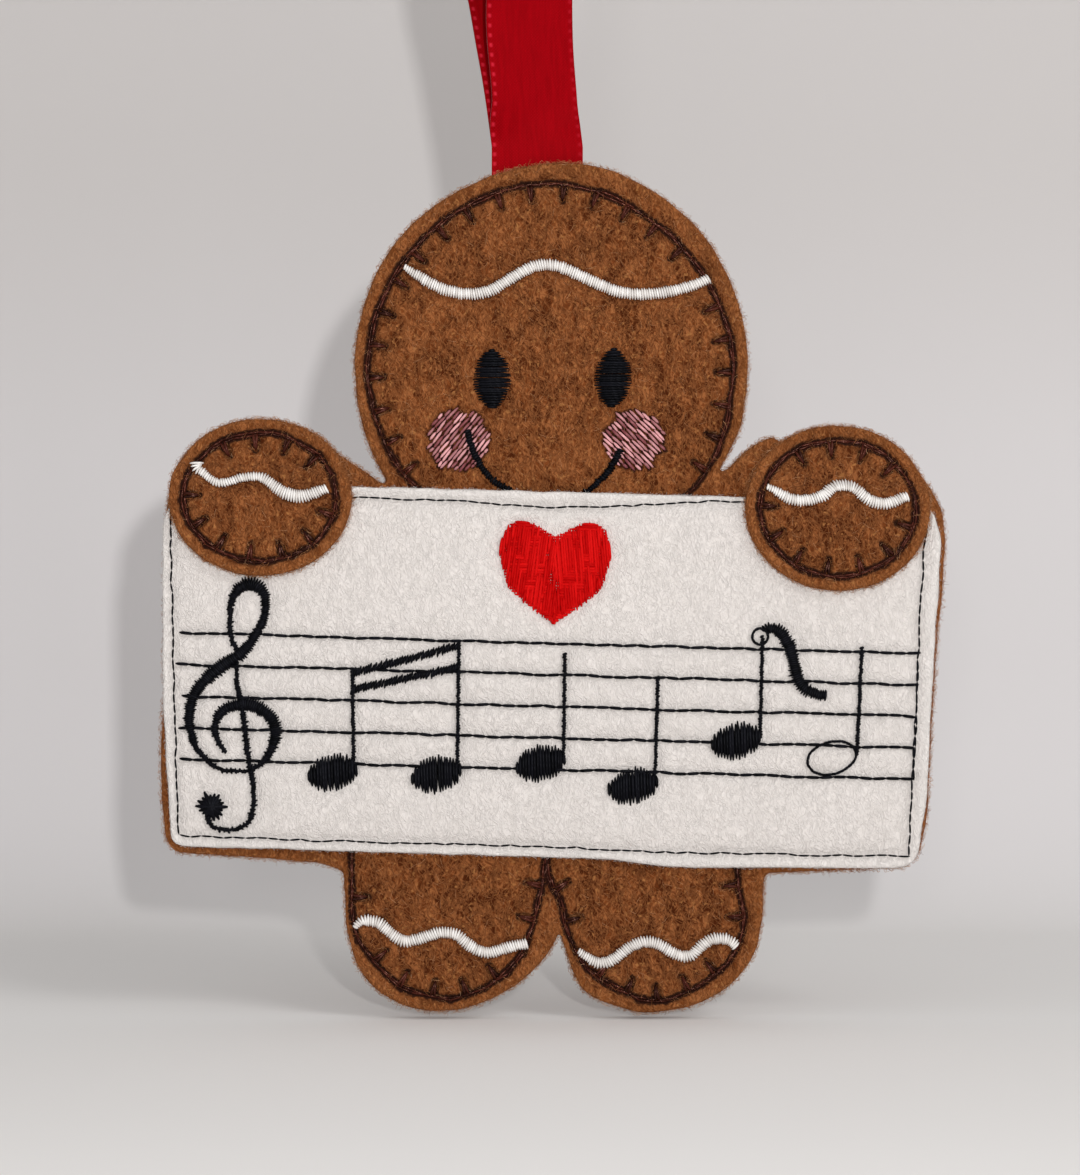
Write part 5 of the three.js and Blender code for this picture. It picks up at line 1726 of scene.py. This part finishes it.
def cut_by_scissors(outline):
    """The outline without the ends of gaps that are too narrow for the scissors' tips."""
    nearest_across = int(SCISSOR_LEAST_RUN / OUTLINE_STEP)
    furthest_across = int(SCISSOR_RUN / OUTLINE_STEP)
    kept = []
    index = 0
    while index < len(outline):
        kept.append(outline[index])
        ahead = np.arange(index + nearest_across, min(index + furthest_across, len(outline)))
        narrow = ahead[np.linalg.norm(outline[ahead] - outline[index], axis=1) < SCISSOR_GAP]
        index = int(narrow[-1]) if len(narrow) else index + 1
    print("left uncut:", len(outline) - len(kept), "outline points")
    return even_outline(np.array(kept), SCISSOR_SOFTENING)


def ribbon_pocket(points):
    """The inner face of the back panel gives way to the two layers of ribbon."""
    half = RIBBON_WIDTH / 2 + POCKET_MARGIN
    beside_ribbon = np.abs(points[:, 0] - RIBBON_ROOT_X) - half
    below_ribbon = ENDS_BOTTOM - POCKET_MARGIN - points[:, 1]
    return POCKET_DEPTH * (1 - smoothstep(np.maximum(beside_ribbon, below_ribbon), 0.0, POCKET_EASE))


under_sign = even_outline(to_world(on_sign(SIGN_SHARES) * UNDER_SIGN_SHARE, SIGN_TILT))
figure_outline = cut_by_scissors(even_outline(front_outline("front_panel")))
wobble = np.array(
    [noise.noise(Vector((x, BACK_LAYER_SEED, z)) * BACK_LAYER_SCALE) for x, z in figure_outline]
)
back_outline = figure_outline + outline_normals(figure_outline) * (BACK_LAYER_WOBBLE * wobble)[:, None]


def cut_front_panel():
    pits = [to_world(tick_pits(ticks), 0.0) for ticks in (head_ticks, *leg_ticks.values())]
    lines = press_lines(panel_surface, *pits)
    planes = (level(PANEL_FACE_Y), level(SHEET_FRONT_Y))
    what = ("front_panel", brown_felt, figure_outline)
    return cut_felt(*what, planes, lines, level(0.0), covered=under_sign)


def cut_back_panel():
    lines = press_lines(back_surface)
    planes = (level(0.0), level(BACK_FACE_Y))
    return cut_felt("back_panel", brown_felt, back_outline, planes, lines, ribbon_pocket, facing=1)


front_panel_felt = cut_front_panel()
back_panel_felt = cut_back_panel()
print("front panel faces:", len(front_panel_felt.data.polygons))

# %% Cut the sign, the hands and the stabiliser
SMILE_RELIEF = 0.0006
SMILE_RELIEF_REACH = 0.0007
SIGN_SOFTENING = 6
HAND_POINTS = 90
STABILISER_SEED = 51

sign_outline = even_outline(to_world(on_sign(SIGN_SHARES), SIGN_TILT), SIGN_SOFTENING)
smile_marks = stitch_marks(thread_plans["smile_thread"])


def smile_relief(points):
    """The back of the sign gives way to the thread of the smile under it."""
    return -SMILE_RELIEF * bell(nearest(points, smile_marks), SMILE_RELIEF_REACH)


def cut_sign():
    lines = press_lines(sign_surface)
    planes = (level(SIGN_FACE_Y), level(PANEL_FACE_Y))
    return cut_felt("sign", white_felt, sign_outline, planes, lines, smile_relief)


def cut_hand(side):
    """A hand patch, and the outline that it was cut from."""
    size = HANDS[side]
    flat = ellipse(hand_centre(side), size["half_width"], size["half_height"], count=HAND_POINTS)
    outline = even_outline(to_world(flat, SIGN_TILT))
    lines = press_lines(hand_surface, to_world(tick_pits(hand_ticks[side]), SIGN_TILT))
    planes = (hand_front_y, hand_back_y)
    return cut_felt(side + "_hand", brown_felt, outline, planes, lines, level(0.0)), outline


def cut_stabiliser():
    """The stabiliser, flat and thin, and the outline that it was cut from."""
    outline = even_outline(front_outline("stabiliser_sheet"))
    count = len(outline)
    flat, triangles = fill(outline, HIDDEN_SPACING, STABILISER_SEED)
    points = [(x, SHEET_FRONT_Y, z) for x, z in flat] + [(x, 0.0, z) for x, z in flat]
    faces = list(triangles)
    faces += [tuple(len(flat) + index for index in triangle[::-1]) for triangle in triangles]
    for index in range(count):
        ahead = (index + 1) % count
        faces.append((index, len(flat) + index, len(flat) + ahead, ahead))
    floats = {"rim_highlight": np.zeros(len(points)), "seam": np.zeros(len(points))}
    return plain_object("stabiliser_mat", points, faces, floats, stabiliser_weave), outline


sign_felt = cut_sign()
hand_felts = {side: cut_hand(side) for side in HANDS}
stabiliser_mat, stabiliser_outline = cut_stabiliser()
print("sign faces:", len(sign_felt.data.polygons))

# %% [markdown]
# ## A thread material
#
# Embroidery thread is two strands of bright fibre twisted together. Each laid strand shines a
# little differently, so a random share that belongs to the strand, with a cloudy noise over it,
# paints it between a dark and a bright tone: painted sheen. The twist is a fine slanting bump made
# from how far round and how far along the strand a point is.

# %% Thread materials
TWIST_PITCH = 0.0007
THREAD_BUMP = 0.5
THREAD_BUMP_RISE = 0.00003
THREAD_BLOTCH_SCALE = 900.0
THREAD_BLOTCH_DETAIL = 2.0
STRAND_SHARE = 0.7
BLOTCH_SHARE = 0.4
BRIGHT_SPAN = (0.15, 0.95)


def thread_material(name, dark, bright, roughness, gloss, gloss_tint):
    material, tree, surface = new_material(name)
    along = maths(tree, "DIVIDE", attribute(tree, "along"), TWIST_PITCH)
    turn = maths(tree, "ADD", along, attribute(tree, "around"))
    place = add_node(tree, "ShaderNodeTexCoord").outputs["Object"]
    blotch = noise_texture(tree, place, THREAD_BLOTCH_SCALE, THREAD_BLOTCH_DETAIL)[0]
    strand = times(tree, attribute(tree, "strand"), STRAND_SHARE)
    share = maths(tree, "ADD", strand, times(tree, blotch, BLOTCH_SHARE))
    # Painted sheen: each strand is painted between the dark and the bright tone.
    looks = {
        "Base Color": mix_colours(tree, between(tree, share, *BRIGHT_SPAN), dark, bright),
        "Roughness": roughness,
        "Specular IOR Level": gloss,
        "Specular Tint": gloss_tint,
        "Normal": bumped(tree, sine_wave(tree, turn, 1.0), THREAD_BUMP, THREAD_BUMP_RISE),
    }
    give_surface(tree, surface, looks)
    return material


brown_thread = thread_material(
    "brown_seam_thread",
    dark=(0.009, 0.0021, 0.0015, 1),
    bright=(0.056, 0.0118, 0.007, 1),
    roughness=0.24,
    gloss=0.36,
    gloss_tint=(1, 0.48, 0.36, 1),
)
black_thread = thread_material(
    "black_music_thread",
    dark=(0.0012, 0.0012, 0.0016, 1),
    bright=(0.0045, 0.0045, 0.0065, 1),
    roughness=0.42,
    gloss=0.07,
    gloss_tint=(0.85, 0.88, 1, 1),
)
white_thread = thread_material(
    "white_icing_thread",
    dark=(0.64, 0.6, 0.565, 1),
    bright=(0.83, 0.8, 0.77, 1),
    roughness=0.45,
    gloss=0.3,
    gloss_tint=(1, 1, 1, 1),
)
pink_thread = thread_material(
    "pink_cheek_thread",
    dark=(0.2, 0.052, 0.058, 1),
    bright=(0.74, 0.37, 0.38, 1),
    roughness=0.4,
    gloss=0.3,
    gloss_tint=(1, 0.75, 0.78, 1),
)
red_thread = thread_material(
    "red_heart_thread",
    dark=(0.4, 0.001, 0.0015, 1),
    bright=(0.6, 0.005, 0.005, 1),
    roughness=0.45,
    gloss=0.08,
    gloss_tint=(1, 0.3, 0.25, 1),
)
print("thread materials are ready")

# %% [markdown]
# ## Sewing with geometry nodes
#
# Every stitch is the same thing: a short length of thread that leaves the felt, arches over it and
# goes back in. So each stitch is drawn as one mesh edge that carries its own thickness and arch,
# and one node tree turns every edge into a rounded, tapering strand. A change to the tree changes
# every thread on the ornament, which is why this is made with nodes and not by hand.

# %% The stitch tree
STITCH_POINTS = 6
STITCH_SIDES = 6
ARCH_POWER = 2.6
TAPER_POWER = 5.0
TIP_SHARE = 0.42


def new_tree(name, inputs, output):
    """A geometry tree, what it is given, and the socket that takes what it makes."""
    tree = bpy.data.node_groups.new(name, "GeometryNodeTree")
    for socket, kind in inputs.items():
        tree.interface.new_socket(socket, in_out="INPUT", socket_type="NodeSocket" + kind)
    tree.interface.new_socket(output, in_out="OUTPUT", socket_type="NodeSocketGeometry")
    given = add_node(tree, "NodeGroupInput").outputs
    return tree, given, add_node(tree, "NodeGroupOutput").inputs[0]


def named_value(tree, name, data_type="FLOAT"):
    """A value that the mesh carries under a name."""
    return add_node(tree, "GeometryNodeInputNamedAttribute", {"Name": name}, data_type=data_type).outputs[0]


def named_store(tree, shape, name, value, domain="POINT"):
    """Let a shape carry a value under a name."""
    feeds = {"Geometry": shape, "Name": name, "Value": value}
    return add_node(tree, "GeometryNodeStoreNamedAttribute", feeds, domain=domain).outputs[0]


def on_curve(tree, measure):
    """How far along its curve each point is, as a Factor or a Length."""
    return add_node(tree, "GeometryNodeSplineParameter").outputs[measure]


def tube(tree, line, section, width):
    """A closed tube: a line, its cross section, and how wide it is along the line."""
    feeds = {"Curve": line, "Profile Curve": section, "Scale": width, "Fill Caps": True}
    return add_node(tree, "GeometryNodeCurveToMesh", feeds).outputs[0]


def with_material(tree, shape, material):
    """A shape of its own, no longer instances, in one material."""
    shape = add_node(tree, "GeometryNodeRealizeInstances", {"Geometry": shape}).outputs[0]
    return add_node(tree, "GeometryNodeSetMaterial", {"Geometry": shape, "Material": material}).outputs[0]


def stitch_tree():
    inputs = {
        "Stitch lines": "Geometry",
        "Thread": "Material",
        "Points in a stitch": "Int",
        "Sides of a strand": "Int",
        "Tip share": "Float",
    }
    tree, given, result = new_tree("sewn_stitches", inputs, "Sewn")
    lines = add_node(tree, "GeometryNodeMeshToCurve", {"Mesh": given["Stitch lines"]}).outputs[0]
    feeds = {"Curve": lines, "Count": given["Points in a stitch"]}
    lines = add_node(tree, "GeometryNodeResampleCurve", feeds).outputs[0]
    from_start = maths(tree, "SUBTRACT", times(tree, on_curve(tree, "Factor"), 2.0), 1.0)
    from_middle = maths(tree, "ABSOLUTE", from_start)
    arch = maths(tree, "SUBTRACT", 1.0, maths(tree, "POWER", from_middle, ARCH_POWER))
    rise = times(tree, named_value(tree, "lift"), arch)
    offset = vector_maths(tree, "SCALE", {0: named_value(tree, "away", "FLOAT_VECTOR"), "Scale": rise})
    lines = add_node(tree, "GeometryNodeSetPosition", {"Geometry": lines, "Offset": offset}).outputs[0]
    lines = named_store(tree, lines, "along", on_curve(tree, "Length"))
    tip = given["Tip share"]
    full = maths(tree, "SUBTRACT", 1.0, maths(tree, "POWER", from_middle, TAPER_POWER))
    tapered = maths(tree, "ADD", tip, times(tree, maths(tree, "SUBTRACT", 1.0, tip), full))
    sides = {"Resolution": given["Sides of a strand"]}
    section = add_node(tree, "GeometryNodeCurvePrimitiveCircle", sides).outputs[0]
    section = named_store(tree, section, "around", on_curve(tree, "Factor"))
    sewn = tube(tree, lines, section, times(tree, named_value(tree, "radius"), tapered))
    sewn = add_node(tree, "GeometryNodeSetShadeSmooth", {"Geometry": sewn}).outputs[0]
    tree.links.new(with_material(tree, sewn, given["Thread"]), result)
    return tree


def socket_of(tree, name):
    """The identifier of a tree's named input."""
    inputs = [item for item in tree.interface.items_tree if item.in_out == "INPUT"]
    return next(item.identifier for item in inputs if item.name == name)


def grown(name, source, tree, settings):
    """Run a geometry tree on a mesh and keep its result as a plain mesh object."""
    carrier = linked(name + "_lines", source)
    modifier = carrier.modifiers.new(tree.name, "NODES")
    modifier.node_group = tree
    for setting, value in settings.items():
        modifier[socket_of(tree, setting)] = value
    bpy.context.view_layer.update()
    evaluated = carrier.evaluated_get(bpy.context.evaluated_depsgraph_get())
    mesh = bpy.data.meshes.new_from_object(evaluated)
    carrier.modifiers.remove(modifier)
    bpy.data.objects.remove(carrier)
    mesh.name = name
    return linked(name, mesh)


sewing = stitch_tree()
print("stitch tree nodes:", len(sewing.nodes))

# %% Sew every plan
THREADS = {
    "brown_thread": brown_thread,
    "black_thread": black_thread,
    "white_thread": white_thread,
    "pink_thread": pink_thread,
    "red_thread": red_thread,
}


def sewn_points(flat, surface, sink):
    """Flat points put on a surface, a little way into it."""
    depth, facing, tilt = surface(flat)
    world = to_world(flat, tilt)
    return np.column_stack([world[:, 0], depth - facing * sink, world[:, 1]]), facing


def sew(name, work, seed):
    """Turn a plan into one piece of thread work that follows the figure."""
    stitches, surface = work["stitches"], work["surface"]
    count = len(stitches)
    starts, facing = sewn_points(stitches[:, 0:2], surface, stitches[:, 6])
    ends, _ = sewn_points(stitches[:, 2:4], surface, stitches[:, 6])
    places = np.empty((2 * count, 3))
    places[0::2], places[1::2] = starts, ends
    edges = [(2 * index, 2 * index + 1) for index in range(count)]
    mesh = bpy.data.meshes.new(name + "_lines")
    mesh.from_pydata([tuple(place) for place in places], edges, [])
    # A random painted sheen share for each stitch.
    strand_sheen = np.random.default_rng(seed).uniform(0, 1, count)
    facts = {"lift": stitches[:, 4], "radius": stitches[:, 5], "strand": strand_sheen}
    store_floats(mesh, {key: np.repeat(values, 2) for key, values in facts.items()})
    away = np.tile((0.0, facing, 0.0), 2 * count).astype(np.float32)
    mesh.attributes.new("away", "FLOAT_VECTOR", "POINT").data.foreach_set("vector", away)
    settings = {
        "Thread": THREADS[work["slot"]],
        "Points in a stitch": STITCH_POINTS,
        "Sides of a strand": STITCH_SIDES,
        "Tip share": TIP_SHARE,
    }
    made = grown(name, mesh, sewing, settings)
    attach(made, "figure")
    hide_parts(work["node"])
    return made


thread_pieces = [sew(name, work, seed) for seed, (name, work) in enumerate(thread_plans.items())]
thread_faces = sum(len(piece.data.polygons) for piece in thread_pieces)
print("thread pieces:", len(thread_pieces), "faces:", thread_faces)

# %% [markdown]
# ## Loose fibres
#
# Felt is never quite smooth: fibre ends stand off its face and make a pale halo along a cut edge.
# A bump can't show that against the background, so real fibres are scattered over the felt with
# geometry nodes. A few curled shapes are made once, and each point takes one of them at random.
# The fibres on the brown felt's cut edges are painted paler than those on its faces: painted light.

# %% The fibre tree
FIBRE_CURLS = ((0.25, 0.1), (-0.3, 0.16), (0.1, 0.3))
FIBRE_SIDES = 3
FIBRE_POINTS = 4
FIBRE_THICKNESS_SHARE = 0.022
FIBRE_TIP_SHARE = 0.4
FIBRE_LENGTHS = (0.6, 1.3)
FIBRE_TINT_SEED = 5
RANDOM_SOCKETS = {"FLOAT_VECTOR": (0, 1, 0), "FLOAT": (2, 3, 1), "INT": (4, 5, 2)}


def random_value(tree, kind, low, high, seed):
    """A random value for each point. Every kind has its own sockets for low, high and the result."""
    low_socket, high_socket, result = RANDOM_SOCKETS[kind]
    feeds = {low_socket: low, high_socket: high, "Seed": seed}
    return add_node(tree, "FunctionNodeRandomValue", feeds, data_type=kind).outputs[result]


def curled_fibre(tree, bend, rise):
    """One curled fibre that starts in the felt. Its points are shares of its length."""
    points = {
        "Resolution": FIBRE_POINTS - 1,
        "Start": (0, 0, -0.08),
        "Start Handle": (0.3, 0, 1.1 * rise),
        "End Handle": (0.6, bend, 1.2 * rise),
        "End": (0.9, 1.5 * bend, 0.6 * rise),
    }
    line = add_node(tree, "GeometryNodeCurvePrimitiveBezierSegment", points).outputs[0]
    section = add_node(tree, "GeometryNodeCurvePrimitiveCircle", {"Resolution": FIBRE_SIDES}).outputs[0]
    tip = FIBRE_TIP_SHARE * FIBRE_THICKNESS_SHARE
    width = spread(tree, on_curve(tree, "Factor"), FIBRE_THICKNESS_SHARE, tip)
    shape = tube(tree, line, section, width)
    return add_node(tree, "GeometryNodeGeometryToInstance", {0: shape}).outputs[0]


def fibre_tree():
    inputs = {
        "Felt": "Geometry",
        "Wool": "Material",
        "Fibres per square metre": "Float",
        "Fibre length": "Float",
        "Seed": "Int",
        "Stand": "Float",
    }
    tree, given, result = new_tree("loose_fibres", inputs, "Fibres")
    seed = given["Seed"]
    density = times(tree, given["Fibres per square metre"], named_value(tree, "fuzz"))
    feeds = {"Mesh": given["Felt"], "Density": density, "Seed": seed}
    scattered = add_node(tree, "GeometryNodeDistributePointsOnFaces", feeds).outputs
    shapes = add_node(tree, "GeometryNodeJoinGeometry")
    for bend, rise in FIBRE_CURLS:
        tree.links.new(curled_fibre(tree, bend, rise), shapes.inputs[0])
    chosen = random_value(tree, "INT", 0, len(FIBRE_CURLS) - 1, seed)
    spin = random_value(tree, "FLOAT_VECTOR", (0, 0, 0), (0, 0, 2 * math.pi), seed)
    spin = add_node(tree, "FunctionNodeEulerToRotation", {0: spin}).outputs[0]
    feeds = {0: scattered["Rotation"], 1: spin}
    turned_by = add_node(tree, "FunctionNodeRotateRotation", feeds, rotation_space="LOCAL").outputs[0]
    length = times(tree, random_value(tree, "FLOAT", *FIBRE_LENGTHS, seed), given["Fibre length"])
    feeds = {0: length, 1: length, 2: times(tree, length, given["Stand"])}
    stretch = add_node(tree, "ShaderNodeCombineXYZ", feeds).outputs[0]
    feeds = {
        "Points": scattered[0],
        "Instance": shapes.outputs[0],
        "Pick Instance": True,
        "Instance Index": chosen,
        "Rotation": turned_by,
        "Scale": stretch,
    }
    fibres = add_node(tree, "GeometryNodeInstanceOnPoints", feeds).outputs[0]
    tint = random_value(tree, "FLOAT", 0.0, 1.0, FIBRE_TINT_SEED)
    fibres = named_store(tree, fibres, "strand", tint, "INSTANCE")
    tree.links.new(with_material(tree, fibres, given["Wool"]), result)
    return tree


fibre_growth = fibre_tree()
print("fibre tree nodes:", len(fibre_growth.nodes))

# %% Fibre materials
FIBRE_TONE_SPAN = (0.0, 0.8)
FIBRE_GOLD_SPAN = (0.84, 0.94)


def fibre_material(name, dark, light, gold):
    """Most fibres lie between two tones, and a few are much paler."""
    material, tree, surface = new_material(name)
    tint = attribute(tree, "strand")
    tone = mix_colours(tree, between(tree, tint, *FIBRE_TONE_SPAN), dark, light)
    tone = mix_colours(tree, between(tree, tint, *FIBRE_GOLD_SPAN), tone, gold)
    give_surface(tree, surface, {"Base Color": tone, "Roughness": 0.8, "Specular IOR Level": 0.1})
    return material


brown_fibre = fibre_material(
    "brown_wool_fibre", dark=(0.14, 0.04, 0.01, 1), light=(0.33, 0.125, 0.045, 1), gold=(0.5, 0.25, 0.12, 1)
)
# Paler fibres for the brown cut edges: painted light, where the thin fibres stand against the backdrop and
# catch the light.
lit_edge_fibre = fibre_material(
    "brown_lit_edge_fibre", dark=(0.3, 0.11, 0.038, 1), light=(0.5, 0.23, 0.1, 1), gold=(0.62, 0.36, 0.2, 1)
)
white_fibre = fibre_material(
    "white_wool_fibre", dark=(0.74, 0.69, 0.66, 1), light=(0.8, 0.76, 0.73, 1), gold=(0.84, 0.8, 0.77, 1)
)
print("made", brown_fibre.name, lit_edge_fibre.name, white_fibre.name)

# %% Grow the fibres
FACE_FIBRES = {"density": 3.6e6, "length": 0.0009, "stand": 1.0}
EDGE_FIBRES = {"density": 1.2e7, "length": 0.00055, "stand": 2.2}
FULL_SHARES = (1.0, 1.0)
BACK_SHARES = (0.4, 1.0)
SIGN_FACE_SHARES = (0.3, 0.6)
SIGN_EDGE_SHARES = (0.7, 0.55)
FACE_SEED = 61
EDGE_SEED = 71
TURNED_AWAY = -0.5
WALL_TURN = 0.75
BARE_SEAM_SHARE = 0.6


def vertex_floats(piece, name):
    values = np.zeros(len(piece.data.vertices), np.float32)
    piece.data.attributes[name].data.foreach_get("value", values)
    return values


def grow_fuzz(name, piece, covers, facing, wool, slot, kind, seed, shares):
    """Loose fibres on the open side of a felt piece, or standing off its cut edge.

    The shares thin them out and shorten them.
    """
    places = np.array([vertex.co for vertex in piece.data.vertices])
    turn = facing * np.array([vertex.normal for vertex in piece.data.vertices])[:, 1]
    chosen = np.abs(turn) < WALL_TURN if kind is EDGE_FIBRES else turn > TURNED_AWAY
    shown = np.where(chosen, 1.0, 0.0)
    for cover in covers:
        shown[is_inside(places[:, [0, 2]], cover)] = 0.0
    # Fewer loose fibres where the felt is painted with seam shade.
    in_seam_shade = np.clip(vertex_floats(piece, "seam"), 0, 1)
    source = piece.data.copy()
    store_floats(source, {"fuzz": shown * (1 - BARE_SEAM_SHARE * in_seam_shade)})
    settings = {
        "Wool": wool,
        "Fibres per square metre": kind["density"] * shares[0],
        "Fibre length": kind["length"] * shares[1],
        "Seed": seed,
        "Stand": kind["stand"],
    }
    made = grown(name, source, fibre_growth, settings)
    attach(made, "figure")
    print(name, "faces:", len(made.data.polygons))
    return made


def grow_both(name, piece, covers, facing, wools, number, face=FULL_SHARES, edge=FULL_SHARES):
    """The two kinds of loose fibres of one felt piece."""
    face_wool, edge_wool, slot = wools
    where = (piece, covers, facing)
    return [
        grow_fuzz(name + "_fuzz", *where, face_wool, slot, FACE_FIBRES, FACE_SEED + number, face),
        grow_fuzz(name + "_edge_fuzz", *where, edge_wool, slot, EDGE_FIBRES, EDGE_SEED + number, edge),
    ]


hand_covers = [outline for _, outline in hand_felts.values()]
brown_wools = (brown_fibre, lit_edge_fibre, "brown_felt")
white_wools = (white_fibre, white_fibre, "white_felt")
sign_shares = (SIGN_FACE_SHARES, SIGN_EDGE_SHARES)
fuzz = {
    "front_panel_felt": grow_both("front_panel", front_panel_felt, [under_sign], -1, brown_wools, 0),
    "back_panel_felt": grow_both("back_panel", back_panel_felt, [], 1, brown_wools, 1, BACK_SHARES),
    "sign_felt": grow_both("sign", sign_felt, hand_covers, -1, white_wools, 2, *sign_shares),
}
for number, (side, (piece, _)) in enumerate(hand_felts.items(), start=3):
    fuzz[piece.name] = grow_both(side + "_hand", piece, [], -1, brown_wools, number)

# %% [markdown]
# ## Giving each felt piece its place
#
# A felt piece follows the figure and stands for its imported node, which is hidden.

def place_felt(piece, node):
    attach(piece, "figure")
    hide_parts(node)


place_felt(back_panel_felt, "back_panel")
place_felt(stabiliser_mat, "stabiliser_sheet")
place_felt(front_panel_felt, "front_panel")
place_felt(sign_felt, "sign_panel")
for side, (piece, outline) in hand_felts.items():
    place_felt(piece, side + "_hand_patch")
